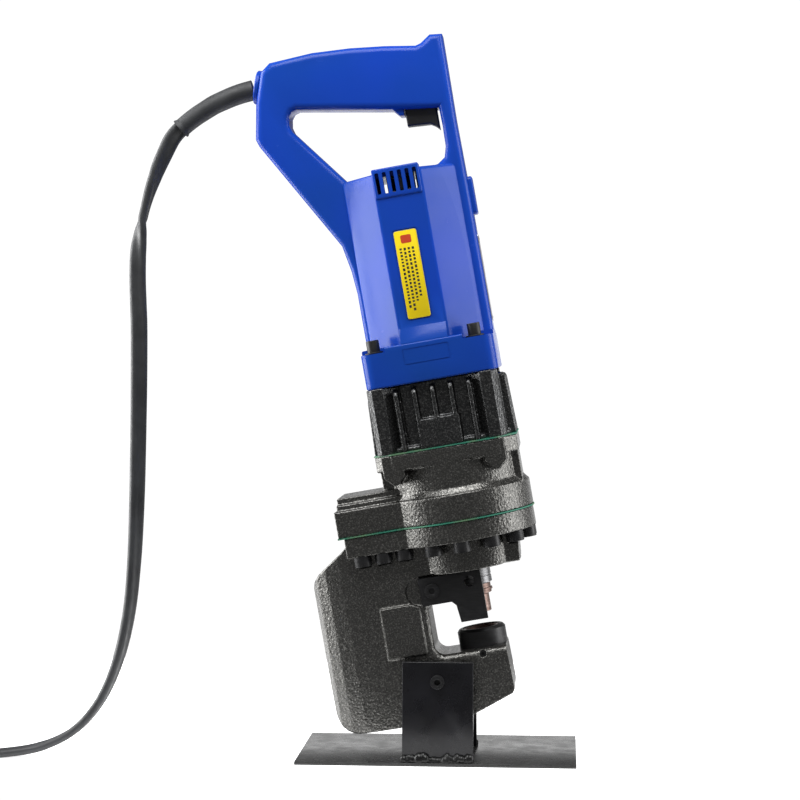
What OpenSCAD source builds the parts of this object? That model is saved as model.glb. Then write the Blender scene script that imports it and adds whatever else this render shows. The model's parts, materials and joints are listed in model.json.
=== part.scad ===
// Portable electro-hydraulic hole puncher, held tilted on a sheet-metal stand.
// Origin: underside of the base plate, below the pivot screws, at the tool's mid-plane.
// Tool pieces are drawn upright with the pivot at their origin, then leaned over by in_tool().

/* [Stand] */
// Lean of the tool from upright, top towards -X, in degrees
tilt = 10; // [8:1:12]
// Height of the pivot screws above the floor
pivot_h = 64; // [62:1:66]
// Length of the base plate along X
base_l = 214; // [200:1:230]
// Depth of the base plate along Y
base_d = 124; // [115:1:140]
// Thickness of the base plate
base_t = 2.5; // [2:0.5:5]
// Width of each ear along X
ear_w = 54; // [50:1:60]
// Thickness of each ear
ear_t = 5; // [4:0.5:6]
// Radius of the pivot screw's head
pivot_head_r = 5.2; // [5:0.1:6.5]

/* [Frame] */
// Thickness of the C-frame
frame_t = 54; // [50:1:58]
// Distance from the pivot to the punch axis
punch_u = 37.5; // [37:0.5:38]
// Height of the lower jaw's top above the pivot
jaw_v = 17.5; // [17:0.5:18]
// Depth of the throat's back wall from the pivot line
throat_u = 1.5; // [0:0.5:3]
// Radius of the round mounting flange
flange_r = 56.5; // [55:0.5:58]
// Half width of the flange's straight extension
flange_y = 38; // [36:1:40]

/* [Punch] */
// Radius of the punch
punch_r = 10.5; // [8:0.5:10.5]
// Radial clearance between punch and die
die_gap = 0.2; // [0.1:0.05:0.3]
// Outer radius of the die's holder ring
die_ring_r = 18.6; // [18:0.1:20]
// Radius of the piston rod
rod_r = 16; // [15:0.5:17]
// Radius of the piston chamber
chamber_r = 30; // [28:1:31]
// Radial running clearance of piston and rod
run_gap = 0.05; // [0.02:0.01:0.08]

/* [Housing] */
// Distance from the pivot to the motor axis
motor_u = 36; // [35:0.5:37]
// Motor housing from flat to flat
body_af = 87; // [84:1:90]
// Width of the housing's collar
collar_w = 101; // [98:1:104]
// Width of the gear case
case_w = 109; // [107:1:110]
// Wall thickness of the plastic shells
wall = 3; // [2.5:0.5:3.5]
// Thickness of the handle along Y
grip_y = 34; // [30:1:36]

/* [Cord] */
// Width of the flat twin cord
cord_w = 13; // [12:0.2:14]
// Thickness of the flat twin cord
cord_t = 6.4; // [6:0.2:6.6]
// Radius of the coil at the middle of its turns
coil_r = 70; // [66:1:75]
// Turns in the coil
coil_turns = 4; // [3:1:5]

/* [Hidden] */
$fn = 64;

// Heights along the tool axis, measured from the pivot
boss_v0 = 79;
spring_seat_v = 96;
frame_flange_v0 = 102.7;
frame_top_v = 118;
gasket_t = 1;
cyl_v0 = frame_top_v + gasket_t;
cyl_flange_v1 = 139;
neck_u = punch_u + 1;
neck_r = 51.5;
ledge_v1 = 148.5;
chamber_v1 = 162;
top_flange_v0 = 163;
cyl_v1 = 175;
case_v0 = cyl_v1 + gasket_t;
case_v1 = 226;
case_web_v0 = 212;
collar_v1 = 256;
collar_round = 9;
vent_u = 17.6;
vent_w = 35.8;
vent_v0 = 366;
body_v1 = 385.3;
vent_v1 = body_v1 + 3.3;
body_r = body_af / 2;
collar_u = 36.4;
case_u = 36.7;
case_y = 52;
cyl_ext_u0 = -55.5;
frame_ext_u0 = -51.5;
column_u = 34.6;
column_off = 38.6;
fin_u = 35;
fin_t = 3;
plate_front_y = -42;
ear_y = 37;
ear_top_z = 78.7;
weld_r = 4.9;
die_r = 14;
die_hole_r = punch_r + die_gap;
stripper_t = 5;
stripper_y = frame_t / 2 - 2;
brush_v = 361;
bolt_r = 4;
hole_gap = 0.1;
jaw_arc = 8;
throat_round = 5;
spine_u1 = 87;
rear_y = grip_y / 2;
pump_v = 190;
gear_u = motor_u + 21;
pinion_teeth = 10;
gear_teeth = 32;
gear_v0 = 200;
gear_v1 = 209;
ecc = 2;
ring_r = 12;
valve_u = 4;
valve_v = 150;
FLANGE_ANGLES = [10, 37, 64, 91, 118];
ROW_U = [-8.5, -24.7, -40.7];
ROW_Y = 31;
COLLAR_AT = [-54.3, 0, 468.7];
SHELL_SCREWS = [[-46, 468], [-54, 434], [30, 462], [79.8, 470], [80.2, 404], [-24, 376], [82.4, 330], [82.4, 272]];
FIN_PITCH = 13.9;

// Outline of the handle and of its opening
HANDLE = [[-47, 485.8], [-13.5, 487.5], [15.7, 485.8], [42, 482.6], [65.6, 478.6], [69.8, 479.8], [77.5, 485],
    [87, 483.8], [86.3, 418], [spine_u1, 360], [spine_u1, collar_v1 - 2], [-11, collar_v1 - 2], [-11, 300],
    [-12.6, 318], [-16.4, 338], [-65.6, 424], [-67.6, 430], [-62.5, 457], [-54.8, 480]];
OPENING = [[-32.5, 447], [37.2, 434.4], [45.2, 428], [48, 428], [48, 433], [75, 429], [75.4, 415],
    [75, 399], [72.8, 391], [67, 387], [53, body_v1], [-1.8, body_v1], [-4.6, 386.4], [-38.7, 431],
    [-40.2, 436], [-39.2, 442.2], [-36.4, 445.8]];

// Route of the cord outside the handle, in the row frame: guard, free cord, then the coil's tail
GUARD_ROUTE = [[-144.5, 0, 515], [-153, 0, 512.8], [-160.5, 0, 510.3], [-167.5, 0, 507.4], [-175, 0, 504],
    [-182, 0, 499.8], [-189.5, 0, 495], [-196.5, 0, 489.7], [-201.5, 0, 485.4]];
CORD_ROUTE = [[-201.5, 0, 485.4], [-205.6, 0, 481.2], [-209.3, 0, 475.8], [-213.8, 0, 466.6], [-218.3, 0, 456.9],
    [-222, 0, 447.3], [-225.5, 0, 437.7], [-228.4, 0, 428], [-230.8, 0, 418.5], [-232.7, 0, 409], [-235, 0, 390],
    [-235.5, 0, 370], [-235, 0, 350], [-234.5, 0, 330], [-234.8, 0, 285], [-235.6, 0, 240], [-236.8, 0, 195],
    [-239, 0, 150], [-243, -1, 110], [-251, -3, 74], [-264, -6, 43], [-283, -11, 20], [-308, -19, 7.6],
    [-338, -29, 3.6], [-370, -38, 3.4], [-404, -43.7, 3.4], [-437, -45, 3.4]];
SPLIT = 17;
split_gap = 0.5;
coil_x = -437;
coil_y = coil_r - 45;
coil_z = 3.4;
coil_rise = 6.6;
tail_angle = 165;
tail_end_r = 12;
tail_drop = 16;
plug_r = 13.5;
guard_r = 7.4;

// Moves an upright tool piece to its leaning place
module in_tool() {
    translate([0, 0, pivot_h]) rotate([0, -tilt, 0]) children();
}

// Extrudes an outline drawn in X and Z along Y, from y0 on
module plate(y0, t) {
    translate([0, y0 + t, 0]) rotate([90, 0, 0]) linear_extrude(height = t) children();
}

// Extrudes an outline drawn in X and Y between two heights
module prism(v0, v1) {
    translate([0, 0, v0]) linear_extrude(height = v1 - v0) children();
}

// Upright cylinder between two heights
module post(u, y, v0, v1, r) {
    translate([u, y, v0]) cylinder(r = r, h = v1 - v0);
}

// Cylinder along Y
module pin_y(u, v, y0, y1, r) {
    translate([u, y1, v]) rotate([90, 0, 0]) cylinder(r = r, h = y1 - y0);
}

// Cylinder along X
module pin_x(u0, u1, v, r) {
    translate([u0, 0, v]) rotate([0, 90, 0]) cylinder(r = r, h = u1 - u0);
}

// Ring between two heights
module ring(u, v0, v1, r_out, r_in) {
    difference() {
        post(u, 0, v0, v1, r_out);
        post(u, 0, v0 - 1, v1 + 1, r_in);
    }
}

// Square outline with cut corners
module cut_square(w, d, c) {
    x = w / 2;
    y = d / 2;
    polygon([[-x, c - y], [c - x, -y], [x - c, -y], [x, c - y], [x, y - c], [x - c, y], [c - x, y], [-x, y - c]]);
}

// Square outline with round corners
module round_square(w, r) {
    x = w / 2;
    square([w, w - 2 * r], center = true);
    square([w - 2 * r, w], center = true);
    for (s = [-1, 1], t = [-1, 1]) translate([s * (x - r), t * (x - r)]) circle(r = r);
}

// Extrudes an outline drawn in Y and Z along X
module across(w) {
    rotate([90, 0, 90]) linear_extrude(height = w) children();
}

// Octagon outline from flat to flat
module octagon(r) {
    c = r * (2 - sqrt(2));
    cut_square(2 * r, 2 * r, c);
}

// Points of an arc
function arc(cx, cy, r, a0, a1, n) = [for (i = [0:n]) let (a = a0 + (a1 - a0) * i / n) [cx + r * cos(a), cy + r * sin(a)]];

function unit(p) = p / norm(p);
function smooth(t) = t * t * (3 - 2 * t);

// Sweeps a flattened ring along a route; half width w and half thickness h, turned about the route by spin(t)
module sweep(route, w, h, sides, turn0, turn1) {
    n = len(route);
    centre = [for (i = [0:n - 1]) let (
        ahead = unit(route[min(i + 1, n - 1)] - route[max(i - 1, 0)]),
        side = unit(cross(ahead, [0, 1, 0])),
        up = cross(side, ahead),
        a = turn0 + (turn1 - turn0) * smooth(min(1, 2.2 * i / (n - 1))))
        for (k = [0:sides - 1]) let (b = 360 * k / sides, p = w * cos(b), q = h * sin(b))
        route[i] + side * (p * cos(a) - q * sin(a)) + up * (p * sin(a) + q * cos(a))];
    walls = [for (i = [0:n - 2], k = [0:sides - 1]) let (j = (k + 1) % sides)
        [i * sides + k, i * sides + j, (i + 1) * sides + j, (i + 1) * sides + k]];
    ends = [[for (k = [sides - 1:-1:0]) k], [for (k = [0:sides - 1]) (n - 1) * sides + k]];
    polyhedron(points = centre, faces = concat(ends, walls), convexity = 10);
}

// Smooth curve through a route's points, m steps to each
function curve(p, m) = concat([for (i = [0:len(p) - 2], j = [0:m - 1]) let (
    t = j / m,
    a = p[max(i - 1, 0)],
    b = p[i],
    c = p[i + 1],
    d = p[min(i + 2, len(p) - 1)])
    0.5 * (2 * b + (c - a) * t + (2 * a - 5 * b + 4 * c - d) * t * t + (3 * b - 3 * c + d - a) * t * t * t)],
    [p[len(p) - 1]]);

function part(p, i0, i1) = [for (i = [i0:i1]) p[i]];

// Socket-head screw pointing down from its seat at z = 0
module cap_screw(head_r, head_h, shank_r, shank_l, hex_r) {
    difference() {
        cylinder(r = head_r, h = head_h);
        translate([0, 0, head_h * 0.4]) cylinder(r = hex_r, h = head_h, $fn = 6);
    }
    translate([0, 0, -shank_l]) cylinder(r = shank_r, h = shank_l);
}

// Coil spring along +Z from the origin
module helix(r, wire_r, height, turns) {
    steps = turns * 16;
    route = [for (i = [0:steps]) [r * cos(i * 22.5), r * sin(i * 22.5), wire_r + (height - 2 * wire_r) * i / steps]];
    n = len(route);
    sides = 6;
    points = [for (i = [0:n - 1], k = [0:sides - 1]) let (a = i * 22.5, b = 60 * k)
        [(r + wire_r * cos(b)) * cos(a), (r + wire_r * cos(b)) * sin(a), route[i][2] + wire_r * sin(b)]];
    walls = [for (i = [0:n - 2], k = [0:sides - 1]) let (j = (k + 1) % sides)
        [i * sides + k, (i + 1) * sides + k, (i + 1) * sides + j, i * sides + j]];
    ends = [[for (k = [0:sides - 1]) k], [for (k = [sides - 1:-1:0]) (n - 1) * sides + k]];
    polyhedron(points = points, faces = concat(ends, walls), convexity = 10);
}

// Spur gear outline with straight-sided teeth, module 1
module gear_shape(teeth, phase) {
    r = teeth / 2;
    step = 360 / teeth;
    half_root = 1.0 / r * 57.3;
    half_tip = 0.32 / r * 57.3;
    polar = [for (i = [0:teeth - 1]) let (a = phase + i * step)
        each [[a - half_root, r - 1.2], [a - half_tip, r + 0.85], [a + half_tip, r + 0.85], [a + half_root, r - 1.2]]];
    polygon([for (p = polar) [p[1] * cos(p[0]), p[1] * sin(p[0])]]);
}

// ---- Stand ----

module base_plate() {
    color("dimgray") translate([-109, plate_front_y, 0]) cube([base_l, base_d, base_t]);
}

module stand_ears() {
    color("black") for (y0 = [-ear_y, ear_y - ear_t]) difference() {
        translate([-ear_w / 2, y0, base_t]) cube([ear_w, ear_t, ear_top_z - base_t]);
        pin_y(0, pivot_h, y0 - 1, y0 + ear_t + 1, 3 + run_gap);
    }
}

module weld_bead(y, side) {
    count = 9;
    for (i = [0:count - 1]) translate([-ear_w / 2 + 3 + i * (ear_w - 6) / (count - 1), y, base_t])
        intersection() {
            sphere(r = weld_r, $fn = 24);
            translate([-6, side > 0 ? 0 : -6, 0]) cube([12, 6, 6]);
        }
}

module weld_beads() {
    color("black") {
        weld_bead(-ear_y, -1);
        weld_bead(ear_y, 1);
    }
}

module pivot_screws() {
    color("black") for (s = [-1, 1]) translate([0, s * ear_y, pivot_h]) rotate([-90 * s, 0, 0])
        cap_screw(pivot_head_r, 6, 3, ear_t + 5 + 12, 2.6);
}

module pivot_spacers() {
    gap = ear_y - ear_t - frame_t / 2;
    color("gray") for (y0 = [-ear_y + ear_t, frame_t / 2 + hole_gap]) difference() {
        pin_y(0, pivot_h, y0, y0 + gap - hole_gap, 8);
        pin_y(0, pivot_h, y0 - 1, y0 + gap + 1, 3 + run_gap);
    }
}

// ---- C-frame, die and stripper ----

// Side view of the frame's web
function frame_outline() = concat(
    [[80, frame_top_v - 3], [-48, frame_top_v - 3], [-56, 107.9], [-77.6, 93]],
    [[-82.4, 87.5], [-84.8, 80.5], [-83.8, -13]],
    arc(-65.8, -14, 18, 180, 268, 6),
    [[-36, -32.2], [22, -31], [54.2, -19.6], [56.4, -16.6], [55.6, jaw_v]],
    arc(throat_u + jaw_arc, jaw_v + jaw_arc, jaw_arc, 270, 180, 6),
    arc(throat_u + 5, 53, 5, 180, 90, 4),
    [[18, 58], [18, boss_v0], [77, boss_v0]]);

// Half of the web's plan, rounded towards the back
NOSE = [[-84.8, 0], [-84, 9], [-80, 16.5], [-71.5, 22], [-60, 25.8], [-50, frame_t / 2], [95, frame_t / 2]];
function mirrored(half) = concat(half, [for (i = [len(half) - 1:-1:1]) [half[i][0], -half[i][1]]]);

module flange_body(v0, v1, grow, left) {
    post(punch_u, 0, v0, v1, flange_r + grow);
    translate([left, -flange_y - grow, v0]) cube([punch_u - left, 2 * (flange_y + grow), v1 - v0]);
}

module flange_holes(v0, v1, r) {
    for (s = [-1, 1]) {
        for (a = FLANGE_ANGLES) post(punch_u + 49 * cos(a), s * 49 * sin(a), v0, v1, r);
        for (u = ROW_U) post(u, s * ROW_Y, v0, v1, r);
    }
}

// Removes the sharp edge between the throat's wall and one side face of the frame
module throat_rounding(s) {
    y = frame_t / 2;
    r = throat_round;
    mirror([0, s > 0 ? 0 : 1, 0]) {
        difference() {
            translate([throat_u - r, y - r, jaw_v + jaw_arc]) cube([r + 1, r + 1, 33]);
            post(throat_u - r, y - r, jaw_v, 70, r);
        }
        difference() {
            translate([throat_u + jaw_arc, y - r, jaw_v - r]) cube([60, r + 1, r + 1]);
            translate([0, y - r, 0]) pin_x(0, 70, jaw_v - r, r);
        }
        intersection() {
            translate([throat_u - r - 1, y - r - 1, jaw_v - r - 1]) cube(jaw_arc + r + 1);
            translate([throat_u + jaw_arc, y - r, jaw_v + jaw_arc]) rotate([-90, 0, 0]) rotate_extrude()
                difference() {
                    translate([jaw_arc - 1, 0]) square([r + 1, r + 1]);
                    translate([jaw_arc + r, 0]) circle(r = r);
                }
        }
    }
}

// Blind hole in one side face of the frame
module side_hole(s, u, v, depth, r) {
    y = frame_t / 2;
    pin_y(u, v, s > 0 ? y - depth : -y - 1, s > 0 ? y + 1 : depth - y, r);
}

module c_frame() {
    color("darkslategray") in_tool() difference() {
        union() {
            intersection() {
                plate(-frame_t / 2, frame_t) polygon(frame_outline());
                prism(-40, frame_top_v - 2) polygon(mirrored(NOSE));
            }
            flange_body(frame_flange_v0, frame_top_v, -0.7, frame_ext_u0);
            post(punch_u, 0, boss_v0, frame_flange_v0 + 1, 40);
            for (y0 = [-frame_t / 2 - 2.5, frame_t / 2]) translate([-34.5, y0, 20.9]) cube([29.8, 2.5, 39]);
        }
        post(punch_u, 0, boss_v0 - 1, spring_seat_v + 1, rod_r + run_gap);
        post(punch_u, 0, spring_seat_v, frame_top_v + 1, chamber_r);
        post(punch_u, 0, -60, 11, 12);
        post(punch_u, 0, 10, jaw_v + 1, die_r + hole_gap);
        flange_holes(frame_flange_v0 - 9, frame_top_v + 1, bolt_r + hole_gap);
        for (s = [-1, 1]) {
            // Room for the bolt heads beside the web
            for (u = ROW_U) post(u, s * ROW_Y, frame_flange_v0 - 9, frame_flange_v0, 7);
            for (a = FLANGE_ANGLES) post(punch_u + 49 * cos(a), s * 49 * sin(a), frame_flange_v0 - 9, frame_flange_v0, 7);
            // Milled seats of the stripper plates
            y0 = s > 0 ? stripper_y : -frame_t / 2 - 3;
            translate([-3, y0, 57]) cube([80, 5, 22.5]);
            pin_y(-2, 68.2, y0, y0 + 5, 11.2);
            side_hole(s, 0, 0, 13, 3 + run_gap);
            side_hole(s, 7.3, 67.8, 15, 3 + hole_gap);
        }
        pin_y(37, 13.8, -frame_t / 2 - 1, -die_r, 2.5 + hole_gap);
        throat_rounding(-1);
        throat_rounding(1);
    }
}

module die_ring() {
    color("black") in_tool() difference() {
        post(punch_u, 0, jaw_v, 32, die_ring_r);
        post(punch_u, 0, jaw_v - 1, 33, die_r + hole_gap);
    }
}

module die() {
    color("gray") in_tool() ring(punch_u, 11, 31.4, die_r, die_hole_r);
}

module die_set_screw() {
    color("black") in_tool() difference() {
        pin_y(37, 13.8, -frame_t / 2 + 2, -die_r, 2.5);
        translate([37, -frame_t / 2 + 4, 13.8]) rotate([90, 0, 0]) cylinder(r = 1.4, h = 3, $fn = 6);
    }
}

// Side view of a stripper plate
STRIPPER = [[-2.2, 57], [-2.2, 78.2], [45.8, 78.2], [45.8, 40.5], [25.2, 40.5], [23.6, 54], [20.6, 57]];

module stripper(y0) {
    color("black") in_tool() difference() {
        plate(y0, stripper_t) polygon(STRIPPER);
        pin_y(7.3, 67.8, y0 - 1, y0 + stripper_t + 1, 3 + hole_gap);
        pin_y(36.4, 70.6, y0 - 1, y0 + stripper_t + 1, 4.2);
    }
}

module stripper_front() {
    stripper(-stripper_y - stripper_t);
}

module stripper_rear() {
    stripper(stripper_y);
}

module stripper_screws() {
    color("black") in_tool() for (s = [-1, 1]) translate([7.3, s * (stripper_y + stripper_t), 67.8]) rotate([-90 * s, 0, 0])
        cap_screw(5.6, 3, 3, 15, 2.6);
}

module flange_bolts() {
    color("black") in_tool() for (s = [-1, 1]) {
        for (a = FLANGE_ANGLES) flange_bolt(punch_u + 49 * cos(a), s * 49 * sin(a));
        for (u = ROW_U) flange_bolt(u, s * ROW_Y);
    }
}

module flange_bolt(u, y) {
    translate([u, y, frame_flange_v0]) rotate([180, 0, 0]) cap_screw(6.5, 8, bolt_r, 26, 3.4);
}

// ---- Hydraulic cylinder ----

module flange_gasket() {
    color("seagreen") in_tool() difference() {
        flange_body(frame_top_v, cyl_v0, 0.5, cyl_ext_u0 - 0.5);
        post(punch_u, 0, frame_top_v - 1, cyl_v0 + 1, chamber_r + 2);
        flange_holes(frame_top_v - 1, cyl_v0 + 1, bolt_r + hole_gap);
    }
}

// Lug of a corner screw, pointed at its foot
module corner_lug(s, t) {
    translate([column_u + s * column_off, 0, 0]) plate(t > 0 ? 33 : -50.5, 17.5)
        polygon([[-8, cyl_v1], [-8, 158.5], [-1.5, 152], [1.5, 152], [8, 158.5], [8, cyl_v1]]);
}

module cylinder_housing() {
    color("darkslategray") in_tool() difference() {
        union() {
            flange_body(cyl_v0, cyl_flange_v1, 0, cyl_ext_u0);
            translate([neck_u, 0, cyl_flange_v1]) cylinder(r1 = flange_r - 1.5, r2 = neck_r, h = 4.5);
            post(neck_u, 0, cyl_flange_v1 - 1, top_flange_v0 + 1, neck_r);
            // Upright flats at both ends, between the two flanges
            translate([case_u - case_w / 2 + 1.5, -24, cyl_flange_v1 - 1]) cube([case_w - 3, 48, cyl_v1 - cyl_flange_v1]);
            // Stepped cover over the oil space
            translate([cyl_ext_u0 + 2.2, -33.5, cyl_flange_v1 - 1]) cube([60, 67, 5.5]);
            translate([cyl_ext_u0 + 3, -29.5, cyl_flange_v1 - 1]) cube([60, 59, ledge_v1 - cyl_flange_v1 + 1]);
            translate([case_u, 0, 0]) prism(top_flange_v0, cyl_v1) cut_square(case_w - 0.5, 2 * case_y - 1, 14);
            for (s = [-1, 1], t = [-1, 1]) corner_lug(s, t);
        }
        post(punch_u, 0, cyl_v0 - 1, chamber_v1, chamber_r);
        post(gear_u, 0, 166, cyl_v1 + 1, 9 + hole_gap);
        flange_holes(cyl_v0 - 1, cyl_v0 + 12, bolt_r + hole_gap);
        translate([-48, -25, cyl_v0 - 1]) cube([34, 50, 26]);
        pin_y(valve_u, valve_v, 28, 70, 4 + run_gap);
    }
}

module oil_bladder() {
    color("black") in_tool() translate([-47, -24, cyl_v0 + 1]) cube([32, 48, 22]);
}

module piston() {
    color("silver") in_tool() {
        difference() {
            post(punch_u, 0, 147, chamber_v1 - 0.5, chamber_r - run_gap);
            translate([0, 0, 154]) ring(punch_u, 0, 4, chamber_r + 1, chamber_r - 3);
        }
        post(punch_u, 0, boss_v0 - 1, 148, rod_r);
    }
}

module piston_seal() {
    color("black") in_tool() ring(punch_u, 154.1, 157.9, chamber_r - run_gap, chamber_r - 3);
}

module return_spring() {
    color("silver") in_tool() translate([punch_u, 0, spring_seat_v]) helix(23, 2.4, 147 - spring_seat_v - 0.2, 6);
}

module punch_holder() {
    color("gray") in_tool() ring(punch_u, 65, boss_v0 - 1, 14.7, 6);
}

module punch_nut() {
    color("rosybrown") in_tool() difference() {
        union() {
            post(punch_u, 0, 57, 65, 13);
            post(punch_u, 0, 59, 61, 14);
        }
        post(punch_u, 0, 56, 66, 8 + hole_gap);
    }
}

module punch() {
    color("rosybrown") in_tool() difference() {
        union() {
            post(punch_u, 0, 43, 56.9, punch_r);
            post(punch_u, 0, 56, 65, 8);
        }
        translate([punch_u, 0, 40]) cylinder(r1 = 8.5, r2 = 0.1, h = 5);
    }
}

module release_valve() {
    color("silver") in_tool() pin_y(valve_u, valve_v, 30, 62, 4);
}

module return_lever() {
    color("black") in_tool() difference() {
        union() {
            pin_y(valve_u, valve_v, 54, 61, 8);
            translate([valve_u - 4, 55, valve_v]) cube([8, 5, 34]);
        }
        pin_y(valve_u, valve_v, 50, 65, 4 + hole_gap);
    }
}

// ---- Gear case and pump ----

module corner_holes(v0, v1, r) {
    for (s = [-1, 1], t = [-1, 1]) post(column_u + s * column_off, t * column_off, v0, v1, r);
}

module housing_gasket() {
    color("seagreen") in_tool() difference() {
        translate([case_u, 0, 0]) prism(cyl_v1, case_v0) cut_square(case_w + 0.4, 2 * case_y - 0.1, 14);
        translate([motor_u, 0, 0]) prism(cyl_v1 - 1, case_v0 + 1) cut_square(76, 76, 20);
        corner_holes(cyl_v1 - 1, case_v0 + 1, 3 + hole_gap);
    }
}

// Cooling fin, from near the case's middle out to r0 at its foot and r1 at its round top
module fin(r0, r1, v1) {
    rotate([90, 0, 0]) translate([0, 0, -fin_t / 2]) linear_extrude(height = fin_t)
        polygon([[38, case_v0], [r0, case_v0], [r1, v1 - 3], [r1 - 1, v1 - 1], [r1 - 3, v1], [38, v1]]);
}

// Corner column: a flat face forwards and an inward slope beside it, in plan from the fins' centre
COLUMN = [[49.5, 28], [49.5, 44], [45.5, 50.5], [37, 50.5], [27, 41], [27, 28]];

module finned_case() {
    side = case_w / 2;
    color("black") in_tool() difference() {
        union() {
            translate([motor_u, 0, 0]) prism(case_v0, case_v1) cut_square(83, 83, 16);
            for (s = [-1, 1], t = [-1, 1]) translate([fin_u, 0, 0]) prism(case_v0, case_v1)
                polygon([for (p = COLUMN) [s * p[0], t * p[1]]]);
            for (k = [-2:2]) {
                for (a = [-90, 90]) translate([fin_u + k * FIN_PITCH, 0, 0]) rotate([0, 0, a]) fin(case_y, case_y - 0.8, 222);
                translate([case_u, k * FIN_PITCH, 0]) fin(side, side - 1.4, 222);
                translate([case_u, k * FIN_PITCH, 0]) rotate([0, 0, 180]) fin(side, side - 1.4, 220);
            }
            translate([20.6, -case_y + 0.3, case_v0]) cube([31, 2 * case_y - 0.6, 22]);
            translate([case_u, 0, 0]) prism(case_v0, case_v0 + 3) cut_square(case_w - 9, 2 * case_y - 9, 14);
        }
        translate([motor_u, 0, 0]) prism(case_v0 - 1, case_web_v0) cut_square(76, 76, 20);
        post(motor_u, 0, case_web_v0 - 1, case_v1 + 1, 13 + hole_gap);
        post(gear_u, 0, case_web_v0 - 1, 221, 7 + hole_gap);
        corner_holes(case_v0 - 1, case_v1 + 1, 3 + hole_gap);
    }
}

module pump_block() {
    color("slategray") in_tool() difference() {
        translate([4, -13, cyl_v1]) cube([24, 26, 22]);
        pin_x(12, 40, pump_v, 5 + run_gap);
    }
}

module pump_plunger() {
    color("silver") in_tool() {
        pin_x(16, gear_u - ecc - ring_r - 0.4, pump_v, 5);
        pin_x(36.5, 38.5, pump_v, 8);
    }
}

module plunger_spring() {
    color("silver") in_tool() translate([28.1, 0, pump_v]) rotate([0, 90, 0]) helix(6.6, 0.7, 8.3, 4);
}

module eccentric_shaft() {
    color("silver") in_tool() {
        post(gear_u, 0, 166.5, 220, 4);
        post(gear_u - ecc, 0, 183, 197, 7.5);
    }
}

module eccentric_ring() {
    color("slategray") in_tool() ring(gear_u - ecc, 184, 196, ring_r, 7.5 + run_gap);
}

module drive_gear() {
    color("gray") in_tool() difference() {
        translate([gear_u, 0, 0]) prism(gear_v0, gear_v1) gear_shape(gear_teeth, 180 / gear_teeth);
        post(gear_u, 0, gear_v0 - 1, gear_v1 + 1, 4 + 0.02);
    }
}

module gear_bearings() {
    color("silver") in_tool() {
        ring(gear_u, 167, 174.5, 9, 4 + run_gap);
        ring(gear_u, 213, 220, 7, 4 + run_gap);
    }
}

// ---- Motor ----

module armature_shaft() {
    color("silver") in_tool() {
        post(motor_u, 0, 211, 381.8, 5);
        translate([motor_u, 0, 0]) prism(199, 211) gear_shape(pinion_teeth, 0);
    }
}

module armature_core() {
    color("gray") in_tool() difference() {
        post(motor_u, 0, 272, 326, 25.5);
        post(motor_u, 0, 271, 327, 5.02);
        for (i = [0:11]) translate([motor_u, 0, 270]) rotate([0, 0, 30 * i]) translate([21, -1.5, 0]) cube([6, 3, 60]);
    }
}

module armature_windings() {
    color("darkgoldenrod") in_tool() {
        ring(motor_u, 262, 271.9, 22, 7);
        ring(motor_u, 326.1, 338, 22, 7);
    }
}

module commutator() {
    color("peru") in_tool() ring(motor_u, 350, 370, 12.5, 5.02);
}

module cooling_fan() {
    color("black") in_tool() difference() {
        union() {
            post(motor_u, 0, 234, 248, 9);
            post(motor_u, 0, 234, 236, 33);
            for (i = [0:8]) translate([motor_u, 0, 235]) rotate([0, 0, 40 * i]) translate([8, -1, 0]) cube([24, 2, 13]);
        }
        post(motor_u, 0, 233, 249, 5.02);
    }
}

module motor_bearings() {
    color("silver") in_tool() {
        ring(motor_u, 213, 224, 13, 5 + run_gap);
        ring(motor_u, 373, 382, 11, 5 + run_gap);
    }
}

module field_stator() {
    color("gray") in_tool() ring(motor_u, 270, 328, 39.5, 26.2);
}

module field_coils() {
    color("sienna") in_tool() {
        ring(motor_u, 258, 269.9, 37, 27);
        ring(motor_u, 328.1, 340, 37, 27);
    }
}

module carbon_brushes() {
    color("black") in_tool() for (s = [-1, 1]) translate([s > 0 ? motor_u + 12.7 : motor_u - 30, -3.2, brush_v - 4.5])
        cube([17.3, 6.4, 9]);
}

module brush_holders() {
    color("goldenrod") in_tool() for (s = [-1, 1]) difference() {
        translate([s > 0 ? motor_u + 17 : motor_u - 39, -5, brush_v - 6.5]) cube([22, 10, 13]);
        translate([s > 0 ? motor_u + 12 : motor_u - 37, -3.3, brush_v - 4.6]) cube([25, 6.6, 9.2]);
    }
}

// ---- Plastic shells ----

module shell_outer() {
    plate(-rear_y, grip_y) difference() {
        polygon(HANDLE);
        polygon(OPENING);
    }
    translate([motor_u, 0, 0]) prism(collar_v1 - 1, body_v1) octagon(body_r);
    translate([collar_u, 0, 0]) prism(case_v1, collar_v1) round_square(collar_w, collar_round);
    for (s = [-1, 1]) {
        // Raised vent block at the top and sloped foot at the collar
        translate([vent_u, s > 0 ? 10 : -body_r - 1, vent_v0]) cube([vent_w, body_r - 9, vent_v1 - vent_v0]);
        translate([vent_u, 0, 0]) across(vent_w)
            polygon([[s * (body_r - 1), 255], [s * 50.3, 255], [s * 50.3, 256.5], [s * (body_r - 0.1), 267]]);
    }
}

module shell_inner() {
    difference() {
        plate(wall - rear_y, grip_y - 2 * wall) offset(delta = -wall) difference() {
            polygon(HANDLE);
            polygon(OPENING);
        }
        // Solid seam along the spine and a floor under the handle
        translate([76, -20, 250]) cube([15, 40, 150]);
        translate([-20, -20, body_v1 - wall]) cube([110, 40, wall]);
        for (p = SHELL_SCREWS) pin_y(p[0], p[1], -20, 20, 4.5);
    }
    translate([motor_u, 0, 0]) difference() {
        prism(case_v1 - 1, body_v1 - wall) octagon(body_r - wall);
        ring(0, 372, body_v1, 15, 11 + hole_gap);
    }
}

module vent_slots(y0, y1) {
    for (i = [0:5]) translate([vent_u + 2.2 + 5.72 * i, y0, 369.5]) cube([2.9, y1 - y0, 16]);
}

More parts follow.
